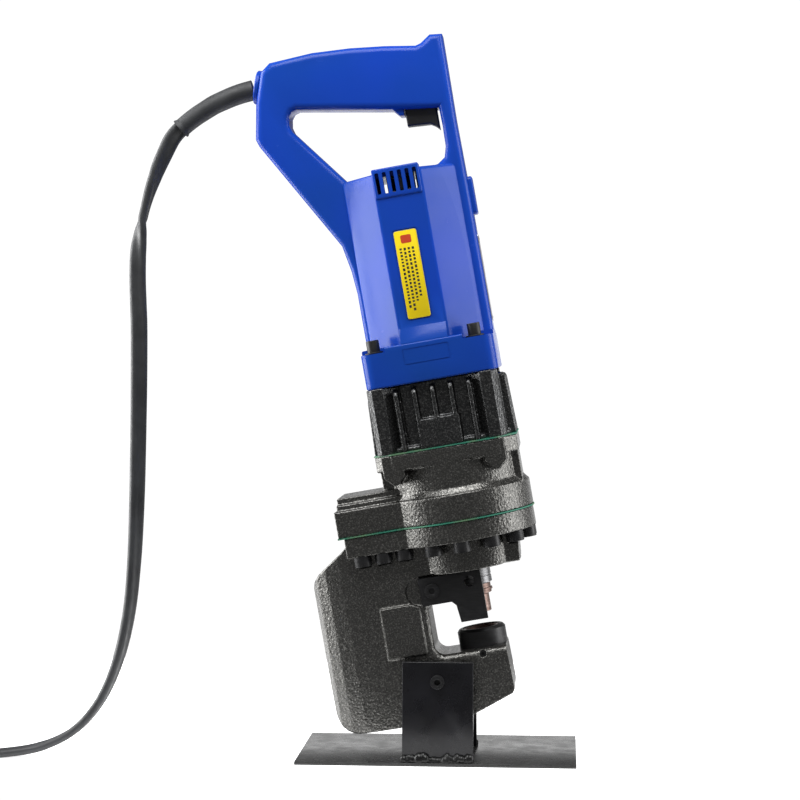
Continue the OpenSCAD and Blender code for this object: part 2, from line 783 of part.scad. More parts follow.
module shell() {
    difference() {
        shell_outer();
        shell_inner();
        vent_slots(-60, -body_r + wall + 1);
        vent_slots(body_r - wall - 1, 60);
        // Trigger slot and the hole for the cord collar
        translate([48.4, -8.3, 425]) cube([25, 16.6, 16]);
        translate(COLLAR_AT) rotate([0, -72.2, 0]) translate([0, 0, -9]) cylinder(r = 9 + hole_gap, h = 30);
        // Corner notches and holes of the collar screws
        for (s = [-1, 1], t = [-1, 1]) {
            translate([column_u + s * column_off - 9, t * column_off - 9, 252.5]) difference() {
                cube([18, 18, 20]);
                translate([motor_u - column_u - s * column_off + 9, 9 - t * column_off, 0]) prism(-1, 30) octagon(body_r);
            }
            post(column_u + s * column_off, t * column_off, case_v1 - 1, 260, 3 + hole_gap);
        }
        // Window behind the brush cover, and the clamshell screws
        pin_x(74, 90, brush_v, 6);
        for (p = SHELL_SCREWS) pin_y(p[0], p[1], -rear_y + 4, 30, 1.5 + hole_gap);
    }
}

module handle_shell_front() {
    color("royalblue") in_tool() intersection() {
        shell();
        translate([-120, -80, 200]) cube([260, 80, 320]);
    }
}

module handle_shell_rear() {
    color("royalblue") in_tool() intersection() {
        shell();
        translate([-120, 0, 200]) cube([260, 80, 320]);
    }
}

module shell_screws() {
    color("black") in_tool() for (p = SHELL_SCREWS) translate([p[0], rear_y, p[1]]) rotate([-90, 0, 0])
        cap_screw(3, 1.6, 1.5, 24, 1.3);
}

module collar_screws() {
    color("black") in_tool() for (s = [-1, 1], t = [-1, 1]) translate([column_u + s * column_off, t * column_off, 253.7])
        cap_screw(4.9, 9, 3, 40, 2.4);
}

module collar_washers() {
    color("black") in_tool() for (s = [-1, 1], t = [-1, 1]) translate([column_u + s * column_off, t * column_off, 0]) difference() {
        post(0, 0, 252.5, 253.7, 7);
        post(0, 0, 252, 254, 3 + hole_gap);
    }
}

module brush_cover() {
    color("royalblue") in_tool() translate([spine_u1, -11, 344.5]) cube([3.4, 22, 29.2]);
}

module nameplate() {
    color("silver") in_tool() translate([spine_u1, -13, 262]) cube([0.8, 26, 67]);
}

module warning_label() {
    color("gold") in_tool() translate([26.2, -body_r - 0.4, 273.5]) cube([17.3, 0.4, 66.5]);
}

module switch_module() {
    color("black") in_tool() translate([47, -10, 447.5]) cube([25, 20, 22]);
}

module trigger() {
    color("black") in_tool() {
        plate(-8, 16) polygon([[48.8, 440.5], [48.8, 419.5], [68.5, 418.4], [73, 413.6], [73, 440.5]]);
        post(60, 0, 440, 442, 2.6);
    }
}

module trigger_spring() {
    color("silver") in_tool() translate([66.5, 0, 440.8]) helix(3.2, 0.5, 6.6, 4);
}

// ---- Cord ----

module cord_collar() {
    color("royalblue") in_tool() translate(COLLAR_AT) rotate([0, -72.2, 0]) {
        translate([0, 0, -4]) cylinder(r = 9, h = 9);
        translate([0, 0, 4.2]) cylinder(r = 13, h = 3.8);
    }
}

module cord_guard() {
    color("dimgray") {
        sweep(curve(GUARD_ROUTE, 2), guard_r, guard_r, 20, 0, 0);
        translate(GUARD_ROUTE[8]) rotate([0, -130.7, 0]) translate([0, 0, -2]) cylinder(r = 8.3, h = 2);
    }
}

// The cord leaves the guard seen broadside and is edge-on before it reaches the floor
module cord_upper() {
    color("dimgray") sweep(curve(part(CORD_ROUTE, 0, SPLIT), 2), cord_w / 2, cord_t / 2, 12, 0, 90);
}

module cord_lower() {
    top = CORD_ROUTE[SPLIT] - [0, 0, split_gap];
    below = part(CORD_ROUTE, SPLIT + 1, len(CORD_ROUTE) - 1);
    color("dimgray") sweep(curve(concat([top], below), 2), cord_w / 2, cord_t / 2, 12, 90, 90);
}

// End of the cord, from the coil's top turn down to the plug inside the coil
tail = [for (i = [0:20]) let (t = i / 20, a = -90 - tail_angle * t, r = coil_r - (coil_r - tail_end_r) * smooth(t))
    [coil_x + r * cos(a), coil_y + r * sin(a), coil_z + coil_rise * coil_turns - tail_drop * smooth(t)]];

module cord_coil() {
    color("dimgray") {
        translate([coil_x, coil_y, 0]) rotate_extrude() translate([coil_r - cord_w / 2, 0])
            square([cord_w, coil_z + cord_t / 2 + coil_rise * coil_turns + 0.4]);
        sweep(tail, cord_w / 2, cord_t / 2, 12, 90, 90);
    }
}

module plug() {
    end = tail[20];
    color("black") translate(end) rotate([0, 0, -tail_angle - 180]) rotate([0, 90, 0]) {
        cylinder(r1 = 7.5, r2 = 9, h = 10);
        translate([0, 0, 10]) cylinder(r = plug_r, h = 24);
        for (y = [-9.5, 9.5]) translate([0, y, 34]) cylinder(r = 2.4, h = 17);
    }
}

base_plate();
stand_ears();
weld_beads();
pivot_screws();
pivot_spacers();
c_frame();
die_ring();
die();
die_set_screw();
stripper_front();
stripper_rear();
stripper_screws();
flange_bolts();
flange_gasket();
cylinder_housing();
housing_gasket();
finned_case();
piston();
piston_seal();
return_spring();
punch_holder();
punch_nut();
punch();
oil_bladder();
pump_block();
pump_plunger();
plunger_spring();
release_valve();
return_lever();
eccentric_shaft();
eccentric_ring();
drive_gear();
gear_bearings();
armature_shaft();
armature_core();
armature_windings();
commutator();
cooling_fan();
motor_bearings();
field_stator();
field_coils();
carbon_brushes();
brush_holders();
handle_shell_front();
handle_shell_rear();
shell_screws();
collar_screws();
collar_washers();
brush_cover();
nameplate();
warning_label();
switch_module();
trigger();
trigger_spring();
cord_collar();
cord_guard();
cord_upper();
cord_lower();
cord_coil();
plug();
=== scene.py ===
"""Visual model of the portable hole puncher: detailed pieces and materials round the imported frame."""

import json
import math
import random

import bmesh
import bpy
from mathutils import Matrix, Vector


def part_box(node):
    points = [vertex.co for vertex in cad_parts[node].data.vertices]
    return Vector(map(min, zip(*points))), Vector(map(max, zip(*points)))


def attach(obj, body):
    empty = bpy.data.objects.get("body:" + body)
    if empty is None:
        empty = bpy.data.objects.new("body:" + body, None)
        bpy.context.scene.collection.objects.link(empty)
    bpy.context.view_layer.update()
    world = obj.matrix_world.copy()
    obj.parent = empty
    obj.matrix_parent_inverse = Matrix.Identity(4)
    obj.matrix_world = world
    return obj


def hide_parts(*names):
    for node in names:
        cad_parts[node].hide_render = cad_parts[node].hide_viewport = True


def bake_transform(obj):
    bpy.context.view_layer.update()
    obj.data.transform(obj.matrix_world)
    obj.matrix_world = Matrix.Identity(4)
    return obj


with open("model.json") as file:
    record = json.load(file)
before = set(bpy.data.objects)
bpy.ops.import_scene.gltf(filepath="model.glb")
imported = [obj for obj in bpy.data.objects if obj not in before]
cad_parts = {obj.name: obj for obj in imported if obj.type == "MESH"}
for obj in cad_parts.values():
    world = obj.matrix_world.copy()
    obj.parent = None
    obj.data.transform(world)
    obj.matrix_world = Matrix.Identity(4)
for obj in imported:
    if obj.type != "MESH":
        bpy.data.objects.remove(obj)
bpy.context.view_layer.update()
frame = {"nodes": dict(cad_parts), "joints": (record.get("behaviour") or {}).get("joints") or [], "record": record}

MM = 0.001
NODES = frame["nodes"]
JOINTS = {joint["name"]: joint for joint in frame["joints"]}
PIVOT = Vector(JOINTS["tool_tilt"]["pos_m"])
TOOL_AXIS = -Vector(JOINTS["ram_stroke"]["axis"]).normalized()
TILT = math.atan2(-TOOL_AXIS.x, TOOL_AXIS.z)
# From the upright tool's own millimetres to the row frame
TOOL = Matrix.Translation(PIVOT) @ Matrix.Rotation(-TILT, 4, "Y") @ Matrix.Scale(MM, 4)
ROW = Matrix.Scale(MM, 4)

# ---------------------------------------------------------------- camera, light and floor

CAMERA_AT = (0.0942, -1.721, 0.330)
CAMERA_LENS = 100.7
CAMERA_YAW = 4.167
CAMERA_PITCH = -1.79


def make_camera():
    data = bpy.data.cameras.new("camera")
    data.lens = CAMERA_LENS
    data.sensor_width = 36
    data.clip_end = 50
    camera = bpy.data.objects.new("camera", data)
    camera.location = CAMERA_AT
    camera.rotation_euler = (math.radians(90 + CAMERA_PITCH), 0, math.radians(CAMERA_YAW))
    bpy.context.collection.objects.link(camera)
    bpy.context.scene.camera = camera


def area_light(name, at, aim, width, height, power):
    data = bpy.data.lights.new(name, "AREA")
    data.shape = "RECTANGLE"
    data.size = width
    data.size_y = height
    data.energy = power
    light = bpy.data.objects.new(name, data)
    light.location = at
    light.rotation_euler = (Vector(aim) - Vector(at)).to_track_quat("-Z", "Y").to_euler()
    light.visible_camera = False
    bpy.context.collection.objects.link(light)


BACKDROP_LIGHT = 1.05
ROOM_LIGHT = 0.2


def make_world():
    """White behind the object, and a dim even room for its reflections and shade."""
    world = bpy.data.worlds.new("studio")
    bpy.context.scene.world = world
    world.use_nodes = True
    tree = world.node_tree
    background = tree.nodes["Background"]
    background.inputs["Color"].default_value = (1, 1, 1, 1)
    path = tree.nodes.new("ShaderNodeLightPath")
    level = tree.nodes.new("ShaderNodeMapRange")
    level.inputs["To Min"].default_value = ROOM_LIGHT
    level.inputs["To Max"].default_value = BACKDROP_LIGHT
    tree.links.new(path.outputs["Is Camera Ray"], level.inputs["Value"])
    tree.links.new(level.outputs["Result"], background.inputs["Strength"])


def make_floor():
    left, right, front, back = -0.75, 0.4, -0.1, 0.5
    mesh = bpy.data.meshes.new("floor")
    corners = [(left, front, 0), (right, front, 0), (right, back, 0), (left, back, 0)]
    mesh.from_pydata(corners, [], [(0, 1, 2, 3)])
    floor = bpy.data.objects.new("floor", mesh)
    bpy.context.collection.objects.link(floor)
    paint = bpy.data.materials.new("floor")
    paint.use_nodes = True
    shader = paint.node_tree.nodes["Principled BSDF"]
    shader.inputs["Base Color"].default_value = (0.9, 0.9, 0.9, 1)
    shader.inputs["Roughness"].default_value = 0.9
    shader.inputs["Specular IOR Level"].default_value = 0.1
    shader.inputs["Emission Color"].default_value = (1, 1, 1, 1)
    shader.inputs["Emission Strength"].default_value = 0.85
    mesh.materials.append(paint)


def make_studio():
    bpy.context.scene.view_settings.view_transform = "Standard"
    make_world()
    make_floor()
    middle = (0, 0, 0.28)
    area_light("left_softbox", (-1.25, 0.1, 0.5), middle, 1.0, 1.5, 38)
    area_light("right_softbox", (1.3, 0.05, 0.5), middle, 0.8, 1.5, 17)
    area_light("top_softbox", (-0.1, -0.7, 1.6), middle, 1.4, 1.0, 32)
    area_light("back_panel", (0.1, 1.6, 0.25), middle, 2.2, 0.5, 3)


make_camera()
make_studio()

# ---------------------------------------------------------------- material helpers


class Paint:
    """A principled material with short ways to add procedural detail."""

    def __init__(self, name, color, roughness, metallic=0.0, **sockets):
        self.material = bpy.data.materials.new(name)
        self.material.use_nodes = True
        self.tree = self.material.node_tree
        self.shader = self.tree.nodes["Principled BSDF"]
        self.color = color
        self.shader.inputs["Base Color"].default_value = (*color, 1)
        self.shader.inputs["Roughness"].default_value = roughness
        self.shader.inputs["Metallic"].default_value = metallic
        for socket, value in sockets.items():
            self.shader.inputs[socket.replace("_", " ")].default_value = value
        self.where = self.node("ShaderNodeTexCoord").outputs["Object"]
        self.height = None

    def node(self, kind, **values):
        made = self.tree.nodes.new(kind)
        for key, value in values.items():
            setattr(made, key, value)
        return made

    def link(self, source, target):
        self.tree.links.new(source, target)

    def stretched(self, scale):
        """Object coordinates, scaled differently along each axis."""
        mapping = self.node("ShaderNodeMapping")
        mapping.inputs["Scale"].default_value = scale
        self.link(self.where, mapping.inputs["Vector"])
        return mapping.outputs["Vector"]

    def noise(self, scale, detail=3.0, where=None):
        made = self.node("ShaderNodeTexNoise")
        made.inputs["Scale"].default_value = scale
        made.inputs["Detail"].default_value = detail
        self.link(where or self.where, made.inputs["Vector"])
        return made.outputs["Fac"]

    def cells(self, scale):
        made = self.node("ShaderNodeTexVoronoi", feature="SMOOTH_F1")
        made.inputs["Scale"].default_value = scale
        self.link(self.where, made.inputs["Vector"])
        return made.outputs["Distance"]

    def ramp(self, fac, low, high, start, end):
        made = self.node("ShaderNodeMapRange")
        made.inputs["From Min"].default_value = start
        made.inputs["From Max"].default_value = end
        made.inputs["To Min"].default_value = low
        made.inputs["To Max"].default_value = high
        self.link(fac, made.inputs["Value"])
        return made.outputs["Result"]

    def tint(self, fac, second, start=0.35, end=0.65):
        """Base colour runs from the paint's colour to the second as fac goes from start to end."""
        mix = self.node("ShaderNodeMix", data_type="RGBA")
        mix.inputs["A"].default_value = (*self.color, 1)
        mix.inputs["B"].default_value = (*second, 1)
        self.link(self.ramp(fac, 0, 1, start, end), mix.inputs["Factor"])
        self.link(mix.outputs["Result"], self.shader.inputs["Base Color"])

    def rough(self, fac, low, high):
        """Roughness runs between two values over the middle of fac's range."""
        self.link(self.ramp(fac, low, high, 0.3, 0.7), self.shader.inputs["Roughness"])

    def bump(self, fac, distance, strength):
        """Relief of a height in metres, on top of any relief added before."""
        made = self.node("ShaderNodeBump")
        made.inputs["Strength"].default_value = strength
        made.inputs["Distance"].default_value = distance
        self.link(fac, made.inputs["Height"])
        if self.height is not None:
            self.link(self.height, made.inputs["Normal"])
        self.height = made.outputs["Normal"]
        self.link(self.height, self.shader.inputs["Normal"])


def blue_plastic():
    p = Paint("blue_plastic", (0.006, 0.05, 0.3), 0.3, Specular_IOR_Level=0.2)
    p.tint(p.noise(9, 2), (0.007, 0.05, 0.42))
    p.rough(p.noise(60, 4), 0.17, 0.28)
    p.bump(p.noise(420, 2), 0.00003, 0.35)
    return p.material


def hammertone(name, dark, light, low, high, grain):
    """Cast iron under a thick black enamel that dries in small cells, its sparkle painted in as lighter specks."""
    p = Paint(name, dark, 0.35, 0.9)
    grains = p.cells(grain)
    fine = p.noise(grain * 1.7, 3)
    # Lighter specks where the fine noise is high: painted glints standing in for the enamel's sparkle
    p.tint(fine, light, 0.5, 0.75)
    p.rough(p.noise(grain * 0.6, 3), low, high)
    p.bump(p.noise(38, 3), 0.0006, 0.35)
    p.bump(grains, 0.0004, 0.9)
    p.bump(fine, 0.0002, 0.9)
    return p.material


def satin_paint(name, color, second, low, high):
    p = Paint(name, color, 0.3, 0.0, Specular_IOR_Level=0.3)
    p.tint(p.noise(35, 5), second)
    p.rough(p.noise(90, 4), low, high)
    p.bump(p.noise(260, 3), 0.0001, 0.3)
    return p.material


def steel(name, color, second, low, high, metallic=1.0, stretch=(90, 90, 1400)):
    """Turned or ground metal, with fine tool marks."""
    p = Paint(name, color, 0.3, metallic)
    marks = p.noise(1.0, 3, p.stretched(stretch))
    p.tint(marks, second)
    p.rough(p.noise(150, 4), low, high)
    p.bump(marks, 0.00006, 0.4)
    return p.material


def moulded(name, color, second, low, high, grain=900, depth=0.0001):
    p = Paint(name, color, 0.5)
    p.tint(p.noise(60, 4), second)
    p.rough(p.noise(200, 3), low, high)
    p.bump(p.noise(grain, 3), depth, 0.5)
    return p.material


def rubber_cord():
    p = Paint("cord_rubber", (0.02, 0.021, 0.023), 0.5)
    p.tint(p.noise(45, 4), (0.034, 0.036, 0.039))
    p.rough(p.noise(170, 4), 0.42, 0.62)
    p.bump(p.noise(700, 3), 0.00008, 0.6)
    return p.material


def copper_wire():
    p = Paint("copper", (0.55, 0.2, 0.07), 0.35, 1.0)
    turns = p.noise(1.0, 2, p.stretched((500, 500, 2600)))
    p.tint(turns, (0.72, 0.32, 0.12))
    p.bump(turns, 0.0003, 0.8)
    return p.material


def gasket_sheet():
    p = Paint("gasket", (0.02, 0.17, 0.11), 0.6)
    p.tint(p.noise(60, 5), (0.12, 0.2, 0.1), 0.45, 0.7)
    p.bump(p.noise(700, 3), 0.0001, 0.6)
    return p.material


def yellow_film():
    p = Paint("label_film", (0.84, 0.62, 0.0), 0.32)
    p.tint(p.noise(24, 3), (0.88, 0.68, 0.01))
    p.bump(p.noise(300, 2), 0.00002, 0.3)
    return p.material


MATERIALS = {
    "blue_plastic": blue_plastic(),
    # The second, lighter colour of each hammertone is its painted sparkle
    "cast_paint": hammertone("cast_paint", (0.085, 0.084, 0.08), (0.27, 0.265, 0.25), 0.25, 0.38, 560),
    "case_paint": hammertone("case_paint", (0.045, 0.046, 0.047), (0.2, 0.2, 0.197), 0.24, 0.38, 600),
    # One black stand paint in two copies: the ears' nearly black copy is painted shade, the plate's lighter copy
    # is painted sheen
    "stand_paint": satin_paint("stand_paint", (0.004, 0.004, 0.005), (0.007, 0.007, 0.009), 0.22, 0.36),
    "plate_paint": satin_paint("plate_paint", (0.02, 0.02, 0.02), (0.032, 0.032, 0.032), 0.2, 0.34),
    "weld": satin_paint("weld", (0.004, 0.004, 0.004), (0.01, 0.01, 0.01), 0.18, 0.4),
    "black_steel": steel("black_steel", (0.009, 0.009, 0.01), (0.016, 0.016, 0.017), 0.34, 0.5, 0.3),
    "tool_steel": steel("tool_steel", (0.13, 0.085, 0.072), (0.22, 0.16, 0.14), 0.3, 0.5),
    "bright_steel": steel("bright_steel", (0.13, 0.13, 0.133), (0.22, 0.22, 0.225), 0.28, 0.42),
    "laminations": steel("laminations", (0.14, 0.14, 0.15), (0.25, 0.25, 0.26), 0.35, 0.5,
                         stretch=(40, 40, 2400)),
    "gasket": gasket_sheet(),
    "black_plastic": moulded("black_plastic", (0.008, 0.008, 0.009), (0.013, 0.013, 0.014), 0.36, 0.5),
    "label": yellow_film(),
    "aluminium": steel("aluminium", (0.62, 0.62, 0.64), (0.7, 0.7, 0.72), 0.25, 0.4, stretch=(900, 60, 60)),
    "cord_rubber": rubber_cord(),
    "inner_rubber": moulded("inner_rubber", (0.012, 0.012, 0.012), (0.02, 0.02, 0.02), 0.5, 0.7),
    "copper": copper_wire(),
    "brass": steel("brass", (0.6, 0.4, 0.13), (0.7, 0.5, 0.2), 0.25, 0.4),
    "carbon": moulded("carbon", (0.015, 0.015, 0.016), (0.03, 0.03, 0.03), 0.5, 0.7),
    "pump_iron": steel("pump_iron", (0.12, 0.12, 0.12), (0.2, 0.2, 0.2), 0.35, 0.55),
    "label_ink": moulded("label_ink", (0.012, 0.012, 0.012), (0.02, 0.02, 0.02), 0.4, 0.5),
    "label_red": moulded("label_red", (0.55, 0.05, 0.012), (0.6, 0.07, 0.02), 0.35, 0.45),
}

# ---------------------------------------------------------------- mesh helpers

# Edges sharper than this many degrees stay crisp
SHARP_ANGLE = 32


def new_object(name, bm, place):
    """A mesh object in the row frame; place takes the bmesh there from its own units."""
    bmesh.ops.recalc_face_normals(bm, faces=bm.faces)
    bm.transform(place)
    mesh = bpy.data.meshes.new(name)
    bm.to_mesh(mesh)
    bm.free()
    made = bpy.data.objects.new(name, mesh)
    bpy.context.collection.objects.link(made)
    return made


def finish_piece(made, material, body, replaces=(), sharp=SHARP_ANGLE):
    """Material, shading, body and replaced CAD nodes of a finished piece."""
    made.data.materials.clear()
    made.data.materials.append(MATERIALS[material])
    made.data.shade_smooth()
    made.data.set_sharp_from_angle(angle=math.radians(sharp))
    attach(made, body)
    if replaces:
        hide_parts(*replaces)


def apply_modifiers(made):
    mesh = bpy.data.meshes.new_from_object(made.evaluated_get(bpy.context.evaluated_depsgraph_get()))
    made.modifiers.clear()
    made.data = mesh
    mesh.name = made.name


def melt(made, voxel, passes):
    """Modifiers that rebuild a mesh in voxels of a size in millimetres and smooth it."""
    skin = made.modifiers.new("skin", "REMESH")
    skin.mode = "VOXEL"
    skin.voxel_size = voxel * MM
    skin.use_smooth_shade = True
    soften = made.modifiers.new("soften", "SMOOTH")
    soften.factor = 0.5
    soften.iterations = passes


def boolean(made, other, operation):
    """Combines two objects by an exact boolean and removes the second."""
    step = made.modifiers.new("boolean", "BOOLEAN")
    step.operation = operation
    step.solver = "EXACT"
    step.object = other
    apply_modifiers(made)
    bpy.data.objects.remove(other)
    return made


def rounded(corners, steps=6):
    """An outline from (x, y, radius) corners, each corner with its own round."""
    outline = []
    count = len(corners)
    for i, (x, y, r) in enumerate(corners):
        here = Vector((x, y))
        before = (Vector(corners[i - 1][:2]) - here).normalized()
        after = (Vector(corners[(i + 1) % count][:2]) - here).normalized()
        if r <= 0:
            outline.append(here)
            continue
        half = before.angle(after) / 2
        reach = r / math.tan(half)
        centre = here + (before + after).normalized() * (r / math.sin(half))
        start = here + before * reach - centre
        end = here + after * reach - centre
        turn = start.angle_signed(end)
        for k in range(steps + 1):
            a = -turn * k / steps
            c, s = math.cos(a), math.sin(a)
            outline.append(centre + Vector((start.x * c - start.y * s, start.x * s + start.y * c)))
    return outline


# Where a point of an outline goes when it is extruded by d along each axis
PLACES = {
    "x": lambda p, d: (d, p[0], p[1]),
    "y": lambda p, d: (p[0], d, p[1]),
    "z": lambda p, d: (p[0], p[1], d),
}


def slab(outline, low, high, along="y"):
    """A bmesh prism: an outline in the two other axes, extruded along one."""
    bm = bmesh.new()
    place = PLACES[along]
    first = [bm.verts.new(place(p, low)) for p in outline]
    last = [bm.verts.new(place(p, high)) for p in outline]
    count = len(outline)
    bm.faces.new(first)
    bm.faces.new(last[::-1])
    for i in range(count):
        j = (i + 1) % count
        bm.faces.new((first[i], last[i], last[j], first[j]))
    bmesh.ops.recalc_face_normals(bm, faces=bm.faces)
    return bm


def bevel_edges(bm, width, segments, chosen):
    edges = [e for e in bm.edges if chosen(e)]
    bmesh.ops.bevel(bm, geom=edges, offset=width, segments=segments, profile=0.5, affect="EDGES",
                    clamp_overlap=True)
    return bm


def sharper_than(degrees):
    limit = math.radians(degrees)
    return lambda e: len(e.link_faces) == 2 and e.calc_face_angle() > limit


def block(x0, x1, y0, y1, z0, z1, bevel=0.0, segments=2):
    bm = slab([(x0, z0), (x1, z0), (x1, z1), (x0, z1)], y0, y1)
    if bevel:
        bevel_edges(bm, bevel, segments, sharper_than(40))
    return bm


def loft(rings):
    """A closed bmesh through rings with the same number of points."""
    bm = bmesh.new()
    made = [[bm.verts.new(p) for p in ring] for ring in rings]
    for a, b in zip(made, made[1:]):
        for k in range(len(a)):
            j = (k + 1) % len(a)
            bm.faces.new((a[k], a[j], b[j], b[k]))
    bm.faces.new(made[0][::-1])
    bm.faces.new(made[-1])
    bmesh.ops.recalc_face_normals(bm, faces=bm.faces)
    return bm


def inset(outline, depth):
    """The outline moved inwards by depth, or outwards where depth is negative."""
    count = len(outline)
    points = [Vector(p[:2]) for p in outline]
    area = sum(points[i - 1].cross(points[i]) for i in range(count))
    sign = 1 if area > 0 else -1
    moved = []
    for i, here in enumerate(points):
        before = (here - points[i - 1]).normalized()
        after = (points[(i + 1) % count] - here).normalized()
        n1 = Vector((-before.y, before.x)) * sign
        n2 = Vector((-after.y, after.x)) * sign
        moved.append(here + (n1 + n2) * (depth / (1 + n1.dot(n2))))
    return moved


def pillow(outline, low, high, r, steps=5, along="y", flare=0.0):
    """A slab with rounded rims; a negative r and a flare make the cutter of a hole with rounded rims."""
    place = PLACES[along]
    size = abs(r)
    rows = []
    if flare:
        rows.append((r * (1 + flare / size), low - flare))
    for k in range(steps + 1):
        a = math.pi / 2 * k / steps
        rows.append((r * (1 - math.sin(a)), low + size * (1 - math.cos(a))))
    rows += [(d, low + high - y) for d, y in reversed(rows)]
    return loft([[place(p, y) for p in inset(outline, d)] for d, y in rows])


def turned(profile, sides=64, closed=False):
    """A lathe piece about Z from (radius, height) points; closed joins the last point to the first."""
    bm = bmesh.new()
    rings = []
    for r, z in profile:
        if r == 0:
            rings.append([bm.verts.new((0, 0, z))])
            continue
        angles = [2 * math.pi * k / sides for k in range(sides)]
        rings.append([bm.verts.new((r * math.cos(a), r * math.sin(a), z)) for a in angles])
    pairs = list(zip(rings, rings[1:])) + ([(rings[-1], rings[0])] if closed else [])
    for a, b in pairs:
        for k in range(sides):
            j = (k + 1) % sides
            if len(a) == 1:
                bm.faces.new((a[0], b[j], b[k]))
            elif len(b) == 1:
                bm.faces.new((a[k], a[j], b[0]))
            else:
                bm.faces.new((a[k], a[j], b[j], b[k]))
    bmesh.ops.recalc_face_normals(bm, faces=bm.faces)
    return bm


def ring_piece(r_out, r_in, low, high, edge):
    """A turned ring with chamfered rims."""
    profile = [(r_in + edge, low), (r_out - edge, low), (r_out, low + edge), (r_out, high - edge),
               (r_out - edge, high), (r_in + edge, high), (r_in, high - edge), (r_in, low + edge)]
    return turned(profile, 72, True)


def screw(head_r, head_h, shank_r, shank_l, hex_r, edge=0.5):
    """A socket-head screw with its seat at z = 0 and its head upwards."""
    sides = 48
    bm = bmesh.new()

    def circle(r, z):
        angles = [2 * math.pi * k / sides for k in range(sides)]
        return [bm.verts.new((r * math.cos(a), r * math.sin(a), z)) for a in angles]

    def hexagon(r, z):
        points = []
        for k in range(sides):
            a = 2 * math.pi * k / sides
            flat = r * math.cos(math.pi / 6) / math.cos((a % (math.pi / 3)) - math.pi / 6)
            points.append(bm.verts.new((flat * math.cos(a), flat * math.sin(a), z)))
        return points

    rings = [
        circle(shank_r - edge, -shank_l),
        circle(shank_r, edge - shank_l),
        circle(shank_r, 0),
        circle(head_r, 0),
        circle(head_r, head_h - edge),
        circle(head_r - edge * 0.3, head_h - edge * 0.3),
        circle(head_r - edge, head_h),
        circle(hex_r + 0.5, head_h),
        hexagon(hex_r, head_h - 0.3),
        hexagon(hex_r, head_h * 0.4),
    ]
    for a, b in zip(rings, rings[1:]):
        for k in range(sides):
            j = (k + 1) % sides
            bm.faces.new((a[k], a[j], b[j], b[k]))
    bm.faces.new(rings[0][::-1])
    bm.faces.new(rings[-1])
    bmesh.ops.recalc_face_normals(bm, faces=bm.faces)
    return bm


def put(bm, at, axis="z", turn=0.0):
    """Turns a bmesh drawn along Z to an axis letter (or its negative) and moves it to its place."""
    turns = {"z": (0, "Y"), "-z": (180, "Y"), "y": (-90, "X"), "-y": (90, "X"), "x": (90, "Y")}
    angle, about = turns[axis]
    rotation = Matrix.Rotation(math.radians(angle), 4, about)
    bm.transform(Matrix.Translation(at) @ rotation @ Matrix.Rotation(turn, 4, "Z"))
    return bm


def add(bm, other):
    """Puts one bmesh into another."""
    mesh = bpy.data.meshes.new("part")
    other.to_mesh(mesh)
    other.free()
    bm.from_mesh(mesh)
    bpy.data.meshes.remove(mesh)
    return bm


def falling_frame(ahead, turn):
    """Directions of a cord's width and thickness where it hangs in a plane across Y, turned about its run."""
    side = ahead.cross(Vector((0, 1, 0))).normalized()
    up = side.cross(ahead)
    c, s = math.cos(turn), math.sin(turn)
    return side * c + up * s, up * c - side * s


def lying_frame(ahead):
    """The same where it lies on the floor, its width level and without a twist."""
    wide = Vector((0, 0, 1)).cross(ahead).normalized()
    return wide, wide.cross(ahead)


def tube(route, width, thickness, turn, sides, lying_from):
    """A flattened tube along a route in metres; turn(i) is its twist, until it lies from a point on."""
    rings = []
    count = len(route)
    section = flat_section(width, thickness, sides)
    for i, point in enumerate(route):
        ahead = (route[min(i + 1, count - 1)] - route[max(i - 1, 0)]).normalized()
        wide, thick = lying_frame(ahead) if i >= lying_from else falling_frame(ahead, turn(i))
        rings.append([point + wide * x + thick * y for x, y in section])
    return loft(rings)


def flat_section(width, thickness, sides):
    """Section of a flat twin cord, the two strands joined in the middle."""
    r = thickness / 2
    off = width / 2 - r
    half = sides // 2
    points = []
    for sign in (1, -1):
        for k in range(half + 1):
            a = math.radians(-125 + 250 * k / half)
            points.append((sign * (off + r * math.cos(a)), sign * r * math.sin(a)))
    return points


def spline(points, steps):
    """A smooth curve through points."""
    p = [Vector(x) for x in points]
    out = []
    for i in range(len(p) - 1):
        a, b, c, d = p[max(i - 1, 0)], p[i], p[i + 1], p[min(i + 2, len(p) - 1)]
        for j in range(steps):
            t = j / steps
            square = (2 * a - 5 * b + 4 * c - d) * t ** 2
            cube = (3 * b - 3 * c + d - a) * t ** 3
            out.append(0.5 * (2 * b + (c - a) * t + square + cube))
    out.append(p[-1])
    return out


def smooth(t):
    t = max(0.0, min(1.0, t))
    return t * t * (3 - 2 * t)


# ---------------------------------------------------------------- cord

CORD_WIDTH = 0.013
CORD_THICKNESS = 0.0064
